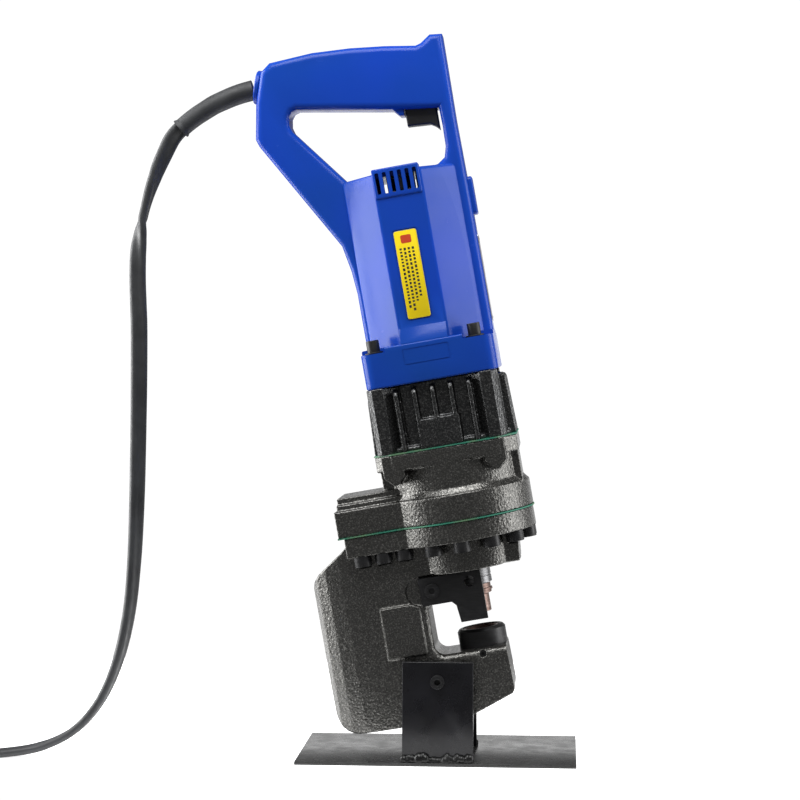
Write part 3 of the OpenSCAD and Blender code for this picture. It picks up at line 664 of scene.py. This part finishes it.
# The route's points, as in the CAD source: guard, then the free cord down to the coil
GUARD_ROUTE = [(-0.1445, 0, 0.515), (-0.153, 0, 0.5128), (-0.1605, 0, 0.5103), (-0.1675, 0, 0.5074),
               (-0.175, 0, 0.504), (-0.182, 0, 0.4998), (-0.1895, 0, 0.495), (-0.1965, 0, 0.4897),
               (-0.2015, 0, 0.4854)]
CORD_ROUTE = [(-0.2015, 0, 0.4854), (-0.2056, 0, 0.4812), (-0.2093, 0, 0.4758), (-0.2138, 0, 0.4666),
              (-0.2183, 0, 0.4569), (-0.222, 0, 0.4473), (-0.2255, 0, 0.4377), (-0.2284, 0, 0.428),
              (-0.2308, 0, 0.4185), (-0.2327, 0, 0.409), (-0.235, 0, 0.39), (-0.2355, 0, 0.37),
              (-0.235, 0, 0.35), (-0.2345, 0, 0.33), (-0.2348, 0, 0.285), (-0.2356, 0, 0.24),
              (-0.2368, 0, 0.195), (-0.239, 0, 0.15), (-0.243, -0.001, 0.11), (-0.251, -0.003, 0.074),
              (-0.264, -0.006, 0.043), (-0.283, -0.011, 0.02), (-0.308, -0.019, 0.0076),
              (-0.338, -0.029, 0.0036), (-0.37, -0.038, 0.0034), (-0.404, -0.0437, 0.0034),
              (-0.437, -0.045, 0.0034)]
# Where along the route the flat cord is edge-on, broadside again, and flat on the floor
EDGE_ON = 8
BROADSIDE = 10.5
FLAT_DOWN = 22
COIL_RADIUS = 0.07
COIL_CENTRE = Vector((-0.437, 0.025, 0))
COIL_LOW = 0.0034
COIL_RISE = 0.0066
COIL_TURNS = 4
TIE_ANGLE = 40
TAIL_ANGLE = 165
TAIL_END_RADIUS = 0.012
TAIL_DROP = 0.016
# Half the spacing of the plug's pins, in millimetres
PIN_OFF = 9.5


def coil_point(angle, radius, height):
    a = math.radians(angle)
    return COIL_CENTRE + Vector((radius * math.cos(a), radius * math.sin(a), height))


def coil_route():
    """The coil's turns, then the tail down to the plug inside it."""
    per_turn = 60
    tail_steps = 30
    top = COIL_LOW + COIL_RISE * COIL_TURNS
    points = []
    for i in range(1, per_turn * COIL_TURNS + 1):
        t = i / per_turn
        points.append(coil_point(-90 - 360 * t, COIL_RADIUS, COIL_LOW + COIL_RISE * t))
    for i in range(1, tail_steps + 1):
        t = i / tail_steps
        radius = COIL_RADIUS - (COIL_RADIUS - TAIL_END_RADIUS) * smooth(t)
        points.append(coil_point(-90 - TAIL_ANGLE * t, radius, top - TAIL_DROP * smooth(t)))
    return points


def make_plug():
    """A moulded two-pin plug with a ribbed neck, at the end of the coil's tail."""
    end = coil_route()[-1] / MM
    ribbed_neck = [(0, 0), (6.6, 0), (7.4, 0.5), (7.4, 1.6), (7, 2), (7.9, 2.6), (7.9, 3.8), (7.4, 4.2),
                   (8.4, 4.8), (8.4, 6), (8, 6.4), (8.8, 7), (9, 10)]
    grip = [(12, 11), (13.2, 12.4), (13.5, 14), (13.5, 31), (13, 33.2), (12, 34), (0, 34)]
    bm = turned(ribbed_neck + grip, 64)
    for y in (-PIN_OFF, PIN_OFF):
        pin = [(0, 33), (2.4, 33), (2.4, 49.4), (1.9, 50.6), (1, 51), (0, 51)]
        add(bm, put(turned(pin, 32), (0, y, 0)))
    bm.transform(Matrix.Translation(end) @ Matrix.Rotation(math.radians(-TAIL_ANGLE - 180), 4, "Z")
                 @ Matrix.Rotation(math.pi / 2, 4, "Y"))
    plug = new_object("mains_plug", bm, ROW)
    finish_piece(plug, "black_plastic", "stand", ["plug"])
    return plug


def make_cord():
    steps = 6
    route = spline(CORD_ROUTE, steps) + coil_route()

    def turn(i):
        at = i / steps
        quarter = smooth(at / EDGE_ON)
        half = smooth((at - EDGE_ON) / (BROADSIDE - EDGE_ON))
        rest = smooth((at - BROADSIDE) / (FLAT_DOWN - BROADSIDE))
        return math.radians(90) * (quarter + half + rest)

    bm = tube(route, CORD_WIDTH, CORD_THICKNESS, turn, 16, FLAT_DOWN * steps)
    cord = new_object("power_cord", bm, Matrix.Identity(4))
    cord.data.materials.append(MATERIALS["cord_rubber"])
    cord.data.shade_smooth()
    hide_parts("cord_upper", "cord_lower", "cord_coil")
    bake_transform(cord)
    make_plug()


def make_guard():
    """A long tapered sleeve with a thin rim at its far end."""
    route = spline(GUARD_ROUTE, 4)
    count = len(route) - 1
    rings = []
    for i, point in enumerate(route):
        ahead = (route[min(i + 1, count)] - route[max(i - 1, 0)]).normalized()
        wide, thick = falling_frame(ahead, 0)
        radius = 0.0079 - 0.0008 * i / count
        if i >= count - 1:
            radius += 0.0009
        rings.append([point + wide * (radius * math.cos(a)) + thick * (radius * math.sin(a))
                      for a in [2 * math.pi * k / 32 for k in range(32)]])
    guard = new_object("cord_guard", loft(rings), Matrix.Identity(4))
    finish_piece(guard, "cord_rubber", "tool", ["cord_guard"])


def make_tie():
    """The strap that holds the coil's turns together."""
    half_wide = 0.0082
    low, high = 0.0004, COIL_LOW + CORD_THICKNESS / 2 + COIL_RISE * COIL_TURNS + 0.0012
    corner_r = 0.002
    thickness = 0.0009
    half_strap = 0.004
    corners = [(-half_wide, low, corner_r), (half_wide, low, corner_r), (half_wide, high, corner_r),
               (-half_wide, high, corner_r)]
    outer = rounded(corners, 4)
    inner = inset(outer, thickness)
    strap = new_object("coil_tie", slab(outer, -half_strap, half_strap), Matrix.Identity(4))
    cutter = new_object("cutter", slab(inner, -0.005, 0.005), Matrix.Identity(4))
    boolean(strap, cutter, "DIFFERENCE")
    angle = math.radians(TIE_ANGLE)
    at = COIL_CENTRE + Vector((COIL_RADIUS * math.cos(angle), COIL_RADIUS * math.sin(angle), 0))
    strap.data.transform(Matrix.Translation(at) @ Matrix.Rotation(angle, 4, "Z"))
    finish_piece(strap, "black_plastic", "stand", ())


make_cord()
make_guard()
make_tie()

# ---------------------------------------------------------------- blue motor housing

# All in the upright tool's millimetres: u ahead, y across, v up; U and V end a name that says which
SCREW_HOLE_R = 3.1
MOTOR_U = 36
BODY_HALF = 43.5
GRIP_HALF = 17
COLLAR_U = 36.4
COLLAR_HALF = 50.5
COLLAR_LOW = 226
COLLAR_TOP = 256
BODY_TOP = 385.3
COLUMN_U = 34.6
COLUMN_OFF = 38.6
VENT = (17.6, 53.4, 366, 388.6)
WALL = 3
BOSS_R = 4.5
HANDLE_ROUND = 5.5
OPENING_ROUND = 5
SEAM_HALF = 0.12
HANDLE = [(-47, 485.8), (-13.5, 487.5), (15.7, 485.8), (42, 482.6), (65.6, 478.6), (69.8, 479.8), (77.5, 485),
          (87, 483.8), (86.3, 418), (87, 360), (87, 250), (-11, 250), (-11, 300), (-12.6, 318), (-16.4, 338),
          (-65.6, 424), (-67.6, 430), (-62.5, 457), (-54.8, 480)]
OPENING = [(-32.5, 447), (37.2, 434.4), (48, 432.6), (75, 429), (75.4, 415), (75, 399), (72.8, 391),
           (67, 387), (53, 384.7), (-1.8, 384.7), (-4.6, 386.4), (-38.7, 431), (-40.2, 436), (-39.2, 442.2),
           (-36.4, 445.8)]
SHELL_SCREWS = [(-46, 468), (-54, 434), (30, 462), (79.8, 470), (80.2, 404), (-24, 376), (82.4, 330),
                (82.4, 272)]
# Right edge of the body's sloped face at each height
FACET_EDGE = [(245, 76.1), (291, 77.3), (312, 77.2), (325, 76.7), (338, 75.9), (350, 74.5), (363, 72.7),
              (374, 70), (BODY_TOP - 3, 67), (BODY_TOP - 1, 66.6), (BODY_TOP, 66.2)]
COLLAR_AT = (-54.3, 0, 468.7)
COLLAR_TURN = -72.2


def tool_object(name, bm):
    return new_object(name, bm, TOOL)


def body_section(edge_u, shrink):
    """Plan of the motor body: an octagon whose right corners draw in towards the top."""
    edge_y = BODY_HALF - (edge_u - 54)
    corners = [(18, -BODY_HALF, 4), (54, -BODY_HALF, 4), (edge_u, -edge_y, 3), (84, -12, 1), (84, 12, 1),
               (edge_u, edge_y, 3), (54, BODY_HALF, 4), (18, BODY_HALF, 4), (-7.5, 18, 4), (-7.5, -18, 4)]
    return inset(rounded(corners, 4), shrink)


def motor_body():
    rings = []
    for v, edge_u in FACET_EDGE:
        shrink = {BODY_TOP: 2.2, BODY_TOP - 1: 0.7}.get(v, 0)
        rings.append([(x, y, v) for x, y in body_section(edge_u, shrink)])
    return loft(rings)


def octagon(r, centre_u=MOTOR_U):
    c = r * (2 - math.sqrt(2))
    points = [(-r, c - r), (c - r, -r), (r - c, -r), (r, c - r),
              (r, r - c), (r - c, r), (c - r, r), (-r, r - c)]
    return [(centre_u + x, y) for x, y in points]


def round_square(centre_u, half, r):
    corners = [(centre_u + x * half, y * half, r) for x, y in ((-1, -1), (1, -1), (1, 1), (-1, 1))]
    return rounded(corners, 6)


def shell_additions():
    """Solids that join the handle: the nose at the trigger, body, collar, sloped feet and vent blocks."""
    u0, u1, v0, v1 = VENT
    nose = [(37, 437), (44.6, 428.4), (48, 428), (48, 437)]
    parts = [pillow(nose, -12, 12, 1, 3), motor_body()]
    parts.append(pillow(round_square(COLLAR_U, COLLAR_HALF, 9), COLLAR_LOW, COLLAR_TOP, 1.4, 4, "z"))
    for s in (-1, 1):
        foot = [(s * 42, 254.7), (s * 50, 254.7), (s * 50, 256.6), (s * 43.5, 267.5), (s * 42, 267.5)]
        parts.append(slab(foot, u0, u1, "x"))
        y0, y1 = sorted((s * 30, s * (BODY_HALF + 1.1)))
        parts.append(block(u0, u1, y0, y1, v0, v1, 1.2, 3))
    parts.append(block(u0 + 2, u1 - 2, -31, 31, BODY_TOP - 4, v1 - 1.3))
    return parts


def shell_cavity():
    """The space inside both shells, with the seam, floor and screw bosses left solid."""
    handle = tool_object("cavity", pillow(inset(HANDLE, WALL), -GRIP_HALF + WALL, GRIP_HALF - WALL, 1, 2))
    bm = slab(inset(OPENING, -WALL), -30, 30)
    boolean(handle, tool_object("opening", bm), "DIFFERENCE")
    bm = block(76, 95, -20, 20, 245, 400)
    add(bm, block(-20, 74, -21, 21, BODY_TOP - WALL, BODY_TOP + 0.5))
    boolean(handle, tool_object("seam", bm), "DIFFERENCE")
    for u, v in SHELL_SCREWS:
        boss = put(turned([(0, -20), (BOSS_R, -20), (BOSS_R, 20), (0, 20)], 20), (u, 0, v), "-y")
        boolean(handle, tool_object("boss", boss), "DIFFERENCE")
    body = slab(octagon(BODY_HALF - WALL), COLLAR_LOW - 1, BODY_TOP - WALL, "z")
    return handle, tool_object("body_cavity", body)


def vent_slots():
    bm = bmesh.new()
    for i in range(6):
        u = VENT[0] + 2.2 + 5.72 * i
        for y0, y1 in ((-60, -39), (39, 60)):
            add(bm, block(u, u + 2.9, y0, y1, 369.5, 385.5, 0.8, 2))
    return bm


def screw_notches():
    """Corner notches in the collar, each following the body's sloped face."""
    near, far = COLUMN_OFF - 9, COLUMN_OFF + 15
    bm = bmesh.new()
    for s in (-1, 1):
        for t in (-1, 1):
            u0, u1 = sorted((COLUMN_U + s * near, COLUMN_U + s * far))
            y0, y1 = sorted((t * near, t * far))
            add(bm, block(u0, u1, y0, y1, 252.5, 262))
    notches = tool_object("notches", bm)
    core = slab(octagon(BODY_HALF + 0.3), 240, 280, "z")
    return boolean(notches, tool_object("core", core), "DIFFERENCE")


def collar_holes():
    bm = bmesh.new()
    for s in (-1, 1):
        for t in (-1, 1):
            hole = turned([(0, 0), (SCREW_HOLE_R, 0), (SCREW_HOLE_R, 40), (0, 40)], 24)
            add(bm, put(hole, (COLUMN_U + s * COLUMN_OFF, t * COLUMN_OFF, 220)))
    return tool_object("holes", bm)


def make_shells():
    shell = tool_object("handle_shell_front", pillow(HANDLE, -GRIP_HALF, GRIP_HALF, HANDLE_ROUND, 6))
    opening = pillow(OPENING, -GRIP_HALF, GRIP_HALF, -OPENING_ROUND, 5, "y", 2)
    boolean(shell, tool_object("opening", opening), "DIFFERENCE")
    for part in shell_additions():
        boolean(shell, tool_object("part", part), "UNION")
    for cavity in shell_cavity():
        boolean(shell, cavity, "DIFFERENCE")
    boolean(shell, tool_object("slots", vent_slots()), "DIFFERENCE")
    boolean(shell, tool_object("trigger_slot", block(48.4, 73.4, -8.3, 8.3, 425, 441)), "DIFFERENCE")
    entry = turned([(0, -9), (9.1, -9), (9.1, 21), (0, 21)], 40)
    entry.transform(Matrix.Translation(COLLAR_AT) @ Matrix.Rotation(math.radians(COLLAR_TURN), 4, "Y"))
    boolean(shell, tool_object("entry", entry), "DIFFERENCE")
    boolean(shell, screw_notches(), "DIFFERENCE")
    boolean(shell, collar_holes(), "DIFFERENCE")
    recess = rounded([(25, 272.3, 2.4), (44.7, 272.3, 2.4), (44.7, 341.2, 2.4), (25, 341.2, 2.4)], 4)
    boolean(shell, tool_object("recess", slab(recess, -60, -BODY_HALF + 0.5)), "DIFFERENCE")
    line = rounded([(18, 240, 1), (53, 240, 1), (53, 252, 1), (18, 252, 1)], 3)
    frame_line = tool_object("line", slab(line, -60, -COLLAR_HALF + 0.35))
    boolean(frame_line, tool_object("inside", slab(inset(line, 0.6), -70, 0)), "DIFFERENCE")
    boolean(shell, frame_line, "DIFFERENCE")
    rear = bpy.data.objects.new("handle_shell_rear", shell.data.copy())
    bpy.context.collection.objects.link(rear)
    boolean(shell, tool_object("half", block(-200, 200, -100, -SEAM_HALF, 200, 520)), "INTERSECT")
    boolean(rear, tool_object("half", block(-200, 200, SEAM_HALF, 100, 200, 520)), "INTERSECT")
    finish_piece(shell, "blue_plastic", "tool", ["handle_shell_front"], 34)
    finish_piece(rear, "blue_plastic", "tool", ["handle_shell_rear"], 34)


def make_cord_collar():
    profile = [(0, -4), (9, -4), (9, 4.2), (12.2, 4.2), (13, 5), (13, 7), (12.2, 7.8), (8.6, 8), (8.2, 7.4),
               (8.2, 6), (0, 6)]
    bm = turned(profile, 72)
    bm.transform(Matrix.Translation(COLLAR_AT) @ Matrix.Rotation(math.radians(COLLAR_TURN), 4, "Y"))
    finish_piece(tool_object("cord_collar", bm), "blue_plastic", "tool", ["cord_collar"])


INK_T = 0.1
BAR_WIDTH = 1.7
BAR_PITCH = 3.1
BAR_GAP = 1.1
BAR_TOP = 327.0
BAR_ENDS = (281, 279, 286, 290)


def make_label():
    """A yellow film with rounded corners; rows of short plain bars stand for its print."""
    film = rounded([(26.2, 273.5, 1.6), (43.5, 273.5, 1.6), (43.5, 340, 1.6), (26.2, 340, 1.6)], 4)
    piece = tool_object("label_film", pillow(film, -BODY_HALF - 0.35, -BODY_HALF + 0.5, 0.12, 2))
    finish_piece(piece, "label", "tool", ["warning_label"])
    draw = random.Random(4)
    front = -BODY_HALF - 0.4
    ink = bmesh.new()
    for row, end in enumerate(BAR_ENDS):
        u = 28.7 + row * BAR_PITCH
        v = BAR_TOP
        while v > end:
            length = draw.uniform(1.2, 2.2)
            add(ink, block(u, u + BAR_WIDTH, front, front + INK_T, v - length, v))
            v -= length + BAR_GAP
    finish_piece(tool_object("label_bars", ink), "label_ink", "tool", ())
    patch = rounded([(30.8, 330.4, 1.2), (38.8, 330.4, 1.2), (38.8, 336.6, 1.2), (30.8, 336.6, 1.2)], 3)
    patch_piece = tool_object("label_patch", slab(patch, front, front + INK_T))
    finish_piece(patch_piece, "label_red", "tool", ())


def make_trigger():
    """The trigger with the short post its spring sits on."""
    shape = [(48.8, 440.5), (48.8, 419.8), (66.5, 418.6), (70, 416.4), (73, 413.2), (73, 440.5)]
    bm = pillow(shape, -8, 8, 1.6, 4)
    add(bm, put(turned([(0, 440), (2.6, 440), (2.6, 442), (0, 442)], 24), (60, 0, 0)))
    finish_piece(tool_object("trigger", bm), "black_plastic", "trigger_body", ["trigger"])


def make_brush_cover():
    shape = rounded([(-11, 344.5, 3), (11, 344.5, 3), (11, 373.7, 3), (-11, 373.7, 3)], 4)
    cover = tool_object("brush_cover", pillow(shape, 83.6, 90.4, 1.2, 3, "x"))
    coin_slot = block(89.4, 92, -6, 6, 358.2, 360)
    behind = block(80, 87.02, -20, 20, 340, 380)
    for cutter in (coin_slot, behind):
        boolean(cover, tool_object("cutter", cutter), "DIFFERENCE")
    finish_piece(cover, "blue_plastic", "tool", ["brush_cover"])


def make_nameplate():
    shape = rounded([(-10.5, 262, 1.5), (10.5, 262, 1.5), (10.5, 329, 1.5), (-10.5, 329, 1.5)], 4)
    bm = slab(shape, 87, 87.6, "x")
    for y in (-7.8, 7.8):
        for v in (265, 326):
            rivet = turned([(0, 0.5), (1.5, 0.5), (1.2, 1.1), (0.7, 1.4), (0, 1.5)], 24)
            add(bm, put(rivet, (86.4, y, v), "x"))
    for k in range(6):
        add(bm, block(87.5, 87.68, -7.5, 7.5 - 3.2 * (k % 3), 274 + 8 * k, 274.7 + 8 * k))
    finish_piece(tool_object("nameplate", bm), "aluminium", "tool", ["nameplate"])


# ---------------------------------------------------------------- fasteners

PUNCH_U = 37.5
STRIPPER_OUT = 30
FLANGE_ANGLES = (10, 37, 64, 91, 118)
FLANGE_CIRCLE = 49
FLANGE_SEAT = 102.7
ROW_U = (-8.5, -24.7, -40.7)
ROW_Y = 31
NOTCH_FLOOR = 252.5
WASHER_TOP = 253.7
# Where the stripper plates' screws sit
STRIPPER_SCREW = (7.3, 67.8)
# Sizes of screws: head radius and height, shank radius and length, socket radius, and an edge
FLANGE_BOLT = (6.5, 8, 4, 26, 3.4)
COLLAR_SCREW = (4.9, 9, 3, 40, 2.4)
STRIPPER_SCREW_SIZE = (5.6, 3, 3, 15, 2.6)
SHELL_SCREW = (3, 1.6, 1.5, 24, 1.3, 0.3)
PIVOT_SCREW = (5.2, 6, 3, 22, 2.6)


def screws(name, places, sizes, body="tool"):
    """A group of socket screws; each place is a point in tool millimetres and the axis the head faces."""
    draw = random.Random(len(name))
    bm = bmesh.new()
    for at, axis in places:
        add(bm, put(screw(*sizes), at, axis, draw.uniform(0, 1)))
    finish_piece(tool_object(name, bm), "black_steel", body, [name])


def make_screws():
    flange = []
    for s in (-1, 1):
        for a in FLANGE_ANGLES:
            ahead = FLANGE_CIRCLE * math.cos(math.radians(a))
            aside = s * FLANGE_CIRCLE * math.sin(math.radians(a))
            flange.append(((PUNCH_U + ahead, aside, FLANGE_SEAT), "-z"))
        flange += [((u, s * ROW_Y, FLANGE_SEAT), "-z") for u in ROW_U]
    screws("flange_bolts", flange, FLANGE_BOLT)
    corners = [(COLUMN_U + s * COLUMN_OFF, t * COLUMN_OFF) for s in (-1, 1) for t in (-1, 1)]
    screws("collar_screws", [((u, y, WASHER_TOP), "z") for u, y in corners], COLLAR_SCREW)
    u, v = STRIPPER_SCREW
    sides = ((-1, "-y"), (1, "y"))
    screws("stripper_screws", [((u, s * STRIPPER_OUT, v), axis) for s, axis in sides], STRIPPER_SCREW_SIZE)
    screws("shell_screws", [((u, GRIP_HALF, v), "y") for u, v in SHELL_SCREWS], SHELL_SCREW)
    screws("pivot_screws", [((0, s * EAR_Y, 0), axis) for s, axis in sides], PIVOT_SCREW, "stand")
    bm = bmesh.new()
    for u, y in corners:
        add(bm, put(ring_piece(7, SCREW_HOLE_R, NOTCH_FLOOR, WASHER_TOP, 0.25), (u, y, 0)))
    finish_piece(tool_object("collar_washers", bm), "black_steel", "tool", ["collar_washers"])


# ---------------------------------------------------------------- stand

PIVOT_H = PIVOT.z / MM
EAR_HALF = 27
EAR_Y = 37
EAR_T = 5
EAR_TOP = 78.7
PLATE_T = 2.5
WELD_REACH = 4.9


def make_ears():
    bm = bmesh.new()
    for y0 in (-EAR_Y, EAR_Y - EAR_T):
        add(bm, block(-EAR_HALF, EAR_HALF, y0, y0 + EAR_T, PLATE_T, EAR_TOP, 0.5, 2))
    ears = new_object("stand_ears", bm, ROW)
    hole = put(turned([(0, -60), (3.05, -60), (3.05, 60), (0, 60)], 32), (0, 0, PIVOT_H), "y")
    boolean(ears, new_object("hole", hole, ROW), "DIFFERENCE")
    # The ears take the darker copy of the stand paint, its painted shade
    finish_piece(ears, "stand_paint", "stand", ["stand_ears"], 50)


def make_base_plate():
    low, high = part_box("base_plate")
    bm = block(low[0] / MM, high[0] / MM, low[1] / MM, high[1] / MM, 0, PLATE_T, 0.35, 2)
    # The plate takes the lighter copy of the stand paint, its painted sheen
    finish_piece(new_object("base_plate", bm, ROW), "plate_paint", "stand", ["base_plate"], 50)


def make_welds():
    """Lumpy beads along the feet of both ears."""
    draw = random.Random(11)
    bm = bmesh.new()
    for s in (-1, 1):
        u = -EAR_HALF + 1.5
        while u < EAR_HALF - 1:
            size = draw.uniform(2.7, 4.3)
            lump = bmesh.new()
            bmesh.ops.create_icosphere(lump, subdivisions=3, radius=size)
            tall = draw.uniform(0.9, 1.5)
            lump.transform(Matrix.Diagonal((draw.uniform(0.7, 1.1), 0.95, tall, 1)))
            depth = s * (EAR_Y + draw.uniform(-0.6, 0.5))
            lump.transform(Matrix.Translation((u, depth, PLATE_T + draw.uniform(0.2, 2.2))))
            add(bm, lump)
            u += draw.uniform(1.2, 2.6)
    weld = new_object("weld_beads", bm, ROW)
    melt(weld, 0.45, 2)
    apply_modifiers(weld)
    limits = bmesh.new()
    for y0, y1 in ((-EAR_Y - WELD_REACH, -EAR_Y + 1), (EAR_Y - 1, EAR_Y + WELD_REACH)):
        add(limits, block(-EAR_HALF - 1, EAR_HALF + 1, y0, y1, PLATE_T - 0.02, PLATE_T + 10))
    boolean(weld, new_object("limits", limits, ROW), "INTERSECT")
    finish_piece(weld, "weld", "stand", ["weld_beads"], 60)


# ---------------------------------------------------------------- punch, die and stripper plates

STRIPPER_T = 5
STRIPPER = [(-2.2, 57), (-2.2, 78.2), (45.8, 78.2), (45.8, 40.5), (25.2, 40.5), (23.6, 54), (20.6, 57)]


def make_strippers():
    u, v = STRIPPER_SCREW
    for name, y0 in (("stripper_front", -STRIPPER_OUT), ("stripper_rear", STRIPPER_OUT - STRIPPER_T)):
        made = tool_object(name, pillow(STRIPPER, y0, y0 + STRIPPER_T, 0.6, 2))
        holes = put(turned([(0, -1), (SCREW_HOLE_R, -1), (SCREW_HOLE_R, 7), (0, 7)], 32), (u, y0, v), "y")
        add(holes, put(turned([(0, -1), (4.2, -1), (4.2, 7), (0, 7)], 32), (36.4, y0, 70.6), "y"))
        boolean(made, tool_object("holes", holes), "DIFFERENCE")
        finish_piece(made, "black_steel", "tool", [name], 40)


def on_punch_line(name, profile, body, material, sides=72, closed=True):
    """A turned piece about the punch's axis, in place of the CAD node of the same name."""
    bm = put(turned(profile, sides, closed), (PUNCH_U, 0, 0))
    finish_piece(tool_object(name, bm), material, body, [name])


def make_die():
    ring = [(14.1, 17.5), (18.6, 17.5), (18.6, 29.8), (17.2, 31.6), (16.4, 32), (14.6, 32), (14.1, 31.5)]
    on_punch_line("die_ring", ring, "tool", "black_steel", 96)
    die = [(10.7, 11), (14, 11), (14, 31), (13.6, 31.4), (12.4, 31.4), (10.7, 29.9)]
    on_punch_line("die", die, "tool", "tool_steel", 96)


def make_punch():
    punch = [(0, 45), (8.5, 43), (10.2, 43), (10.5, 43.3), (10.5, 56.5), (10.1, 56.9), (8, 56.9), (8, 65),
             (0, 65)]
    on_punch_line("punch", punch, "ram", "tool_steel", 64, False)
    nut = [(8.1, 57), (12.6, 57), (13, 57.4), (13, 59), (14, 59.3), (14, 60.9), (13, 61.2), (13, 64.6),
           (12.6, 65), (8.1, 65)]
    on_punch_line("punch_nut", nut, "ram", "tool_steel")
    holder = [(6, 65), (14.2, 65), (14.7, 65.5), (14.7, 70), (14.3, 70.4), (14.3, 71), (14.7, 71.4),
              (14.7, 78), (6, 78)]
    on_punch_line("punch_holder", holder, "ram", "bright_steel")


# ---------------------------------------------------------------- CAD nodes that stay, with their materials


def dress(node, material):
    """Gives a CAD node its material."""
    made = NODES[node]
    made.data.shade_smooth()
    made.data.set_sharp_from_angle(angle=math.radians(30))
    if made.material_slots:
        for place in made.material_slots:
            place.material = MATERIALS[material]
    else:
        made.data.materials.append(MATERIALS[material])


def cast(node, voxel, passes):
    """A casting: every edge and corner softened, as sand moulds leave them."""
    made = NODES[node]
    weld = made.modifiers.new("weld", "WELD")
    weld.merge_threshold = 0.00001
    melt(made, voxel, passes)


for piece in frame["record"]["subparts"]:
    dress(piece["node"], piece["material_slot"])
cast("c_frame", 0.75, 3)
cast("cylinder_housing", 0.75, 4)
cast("finned_case", 0.7, 3)
make_shells()
make_cord_collar()
make_label()
make_trigger()
make_brush_cover()
make_nameplate()
make_screws()
make_ears()
make_base_plate()
make_welds()
make_strippers()
make_die()
make_punch()
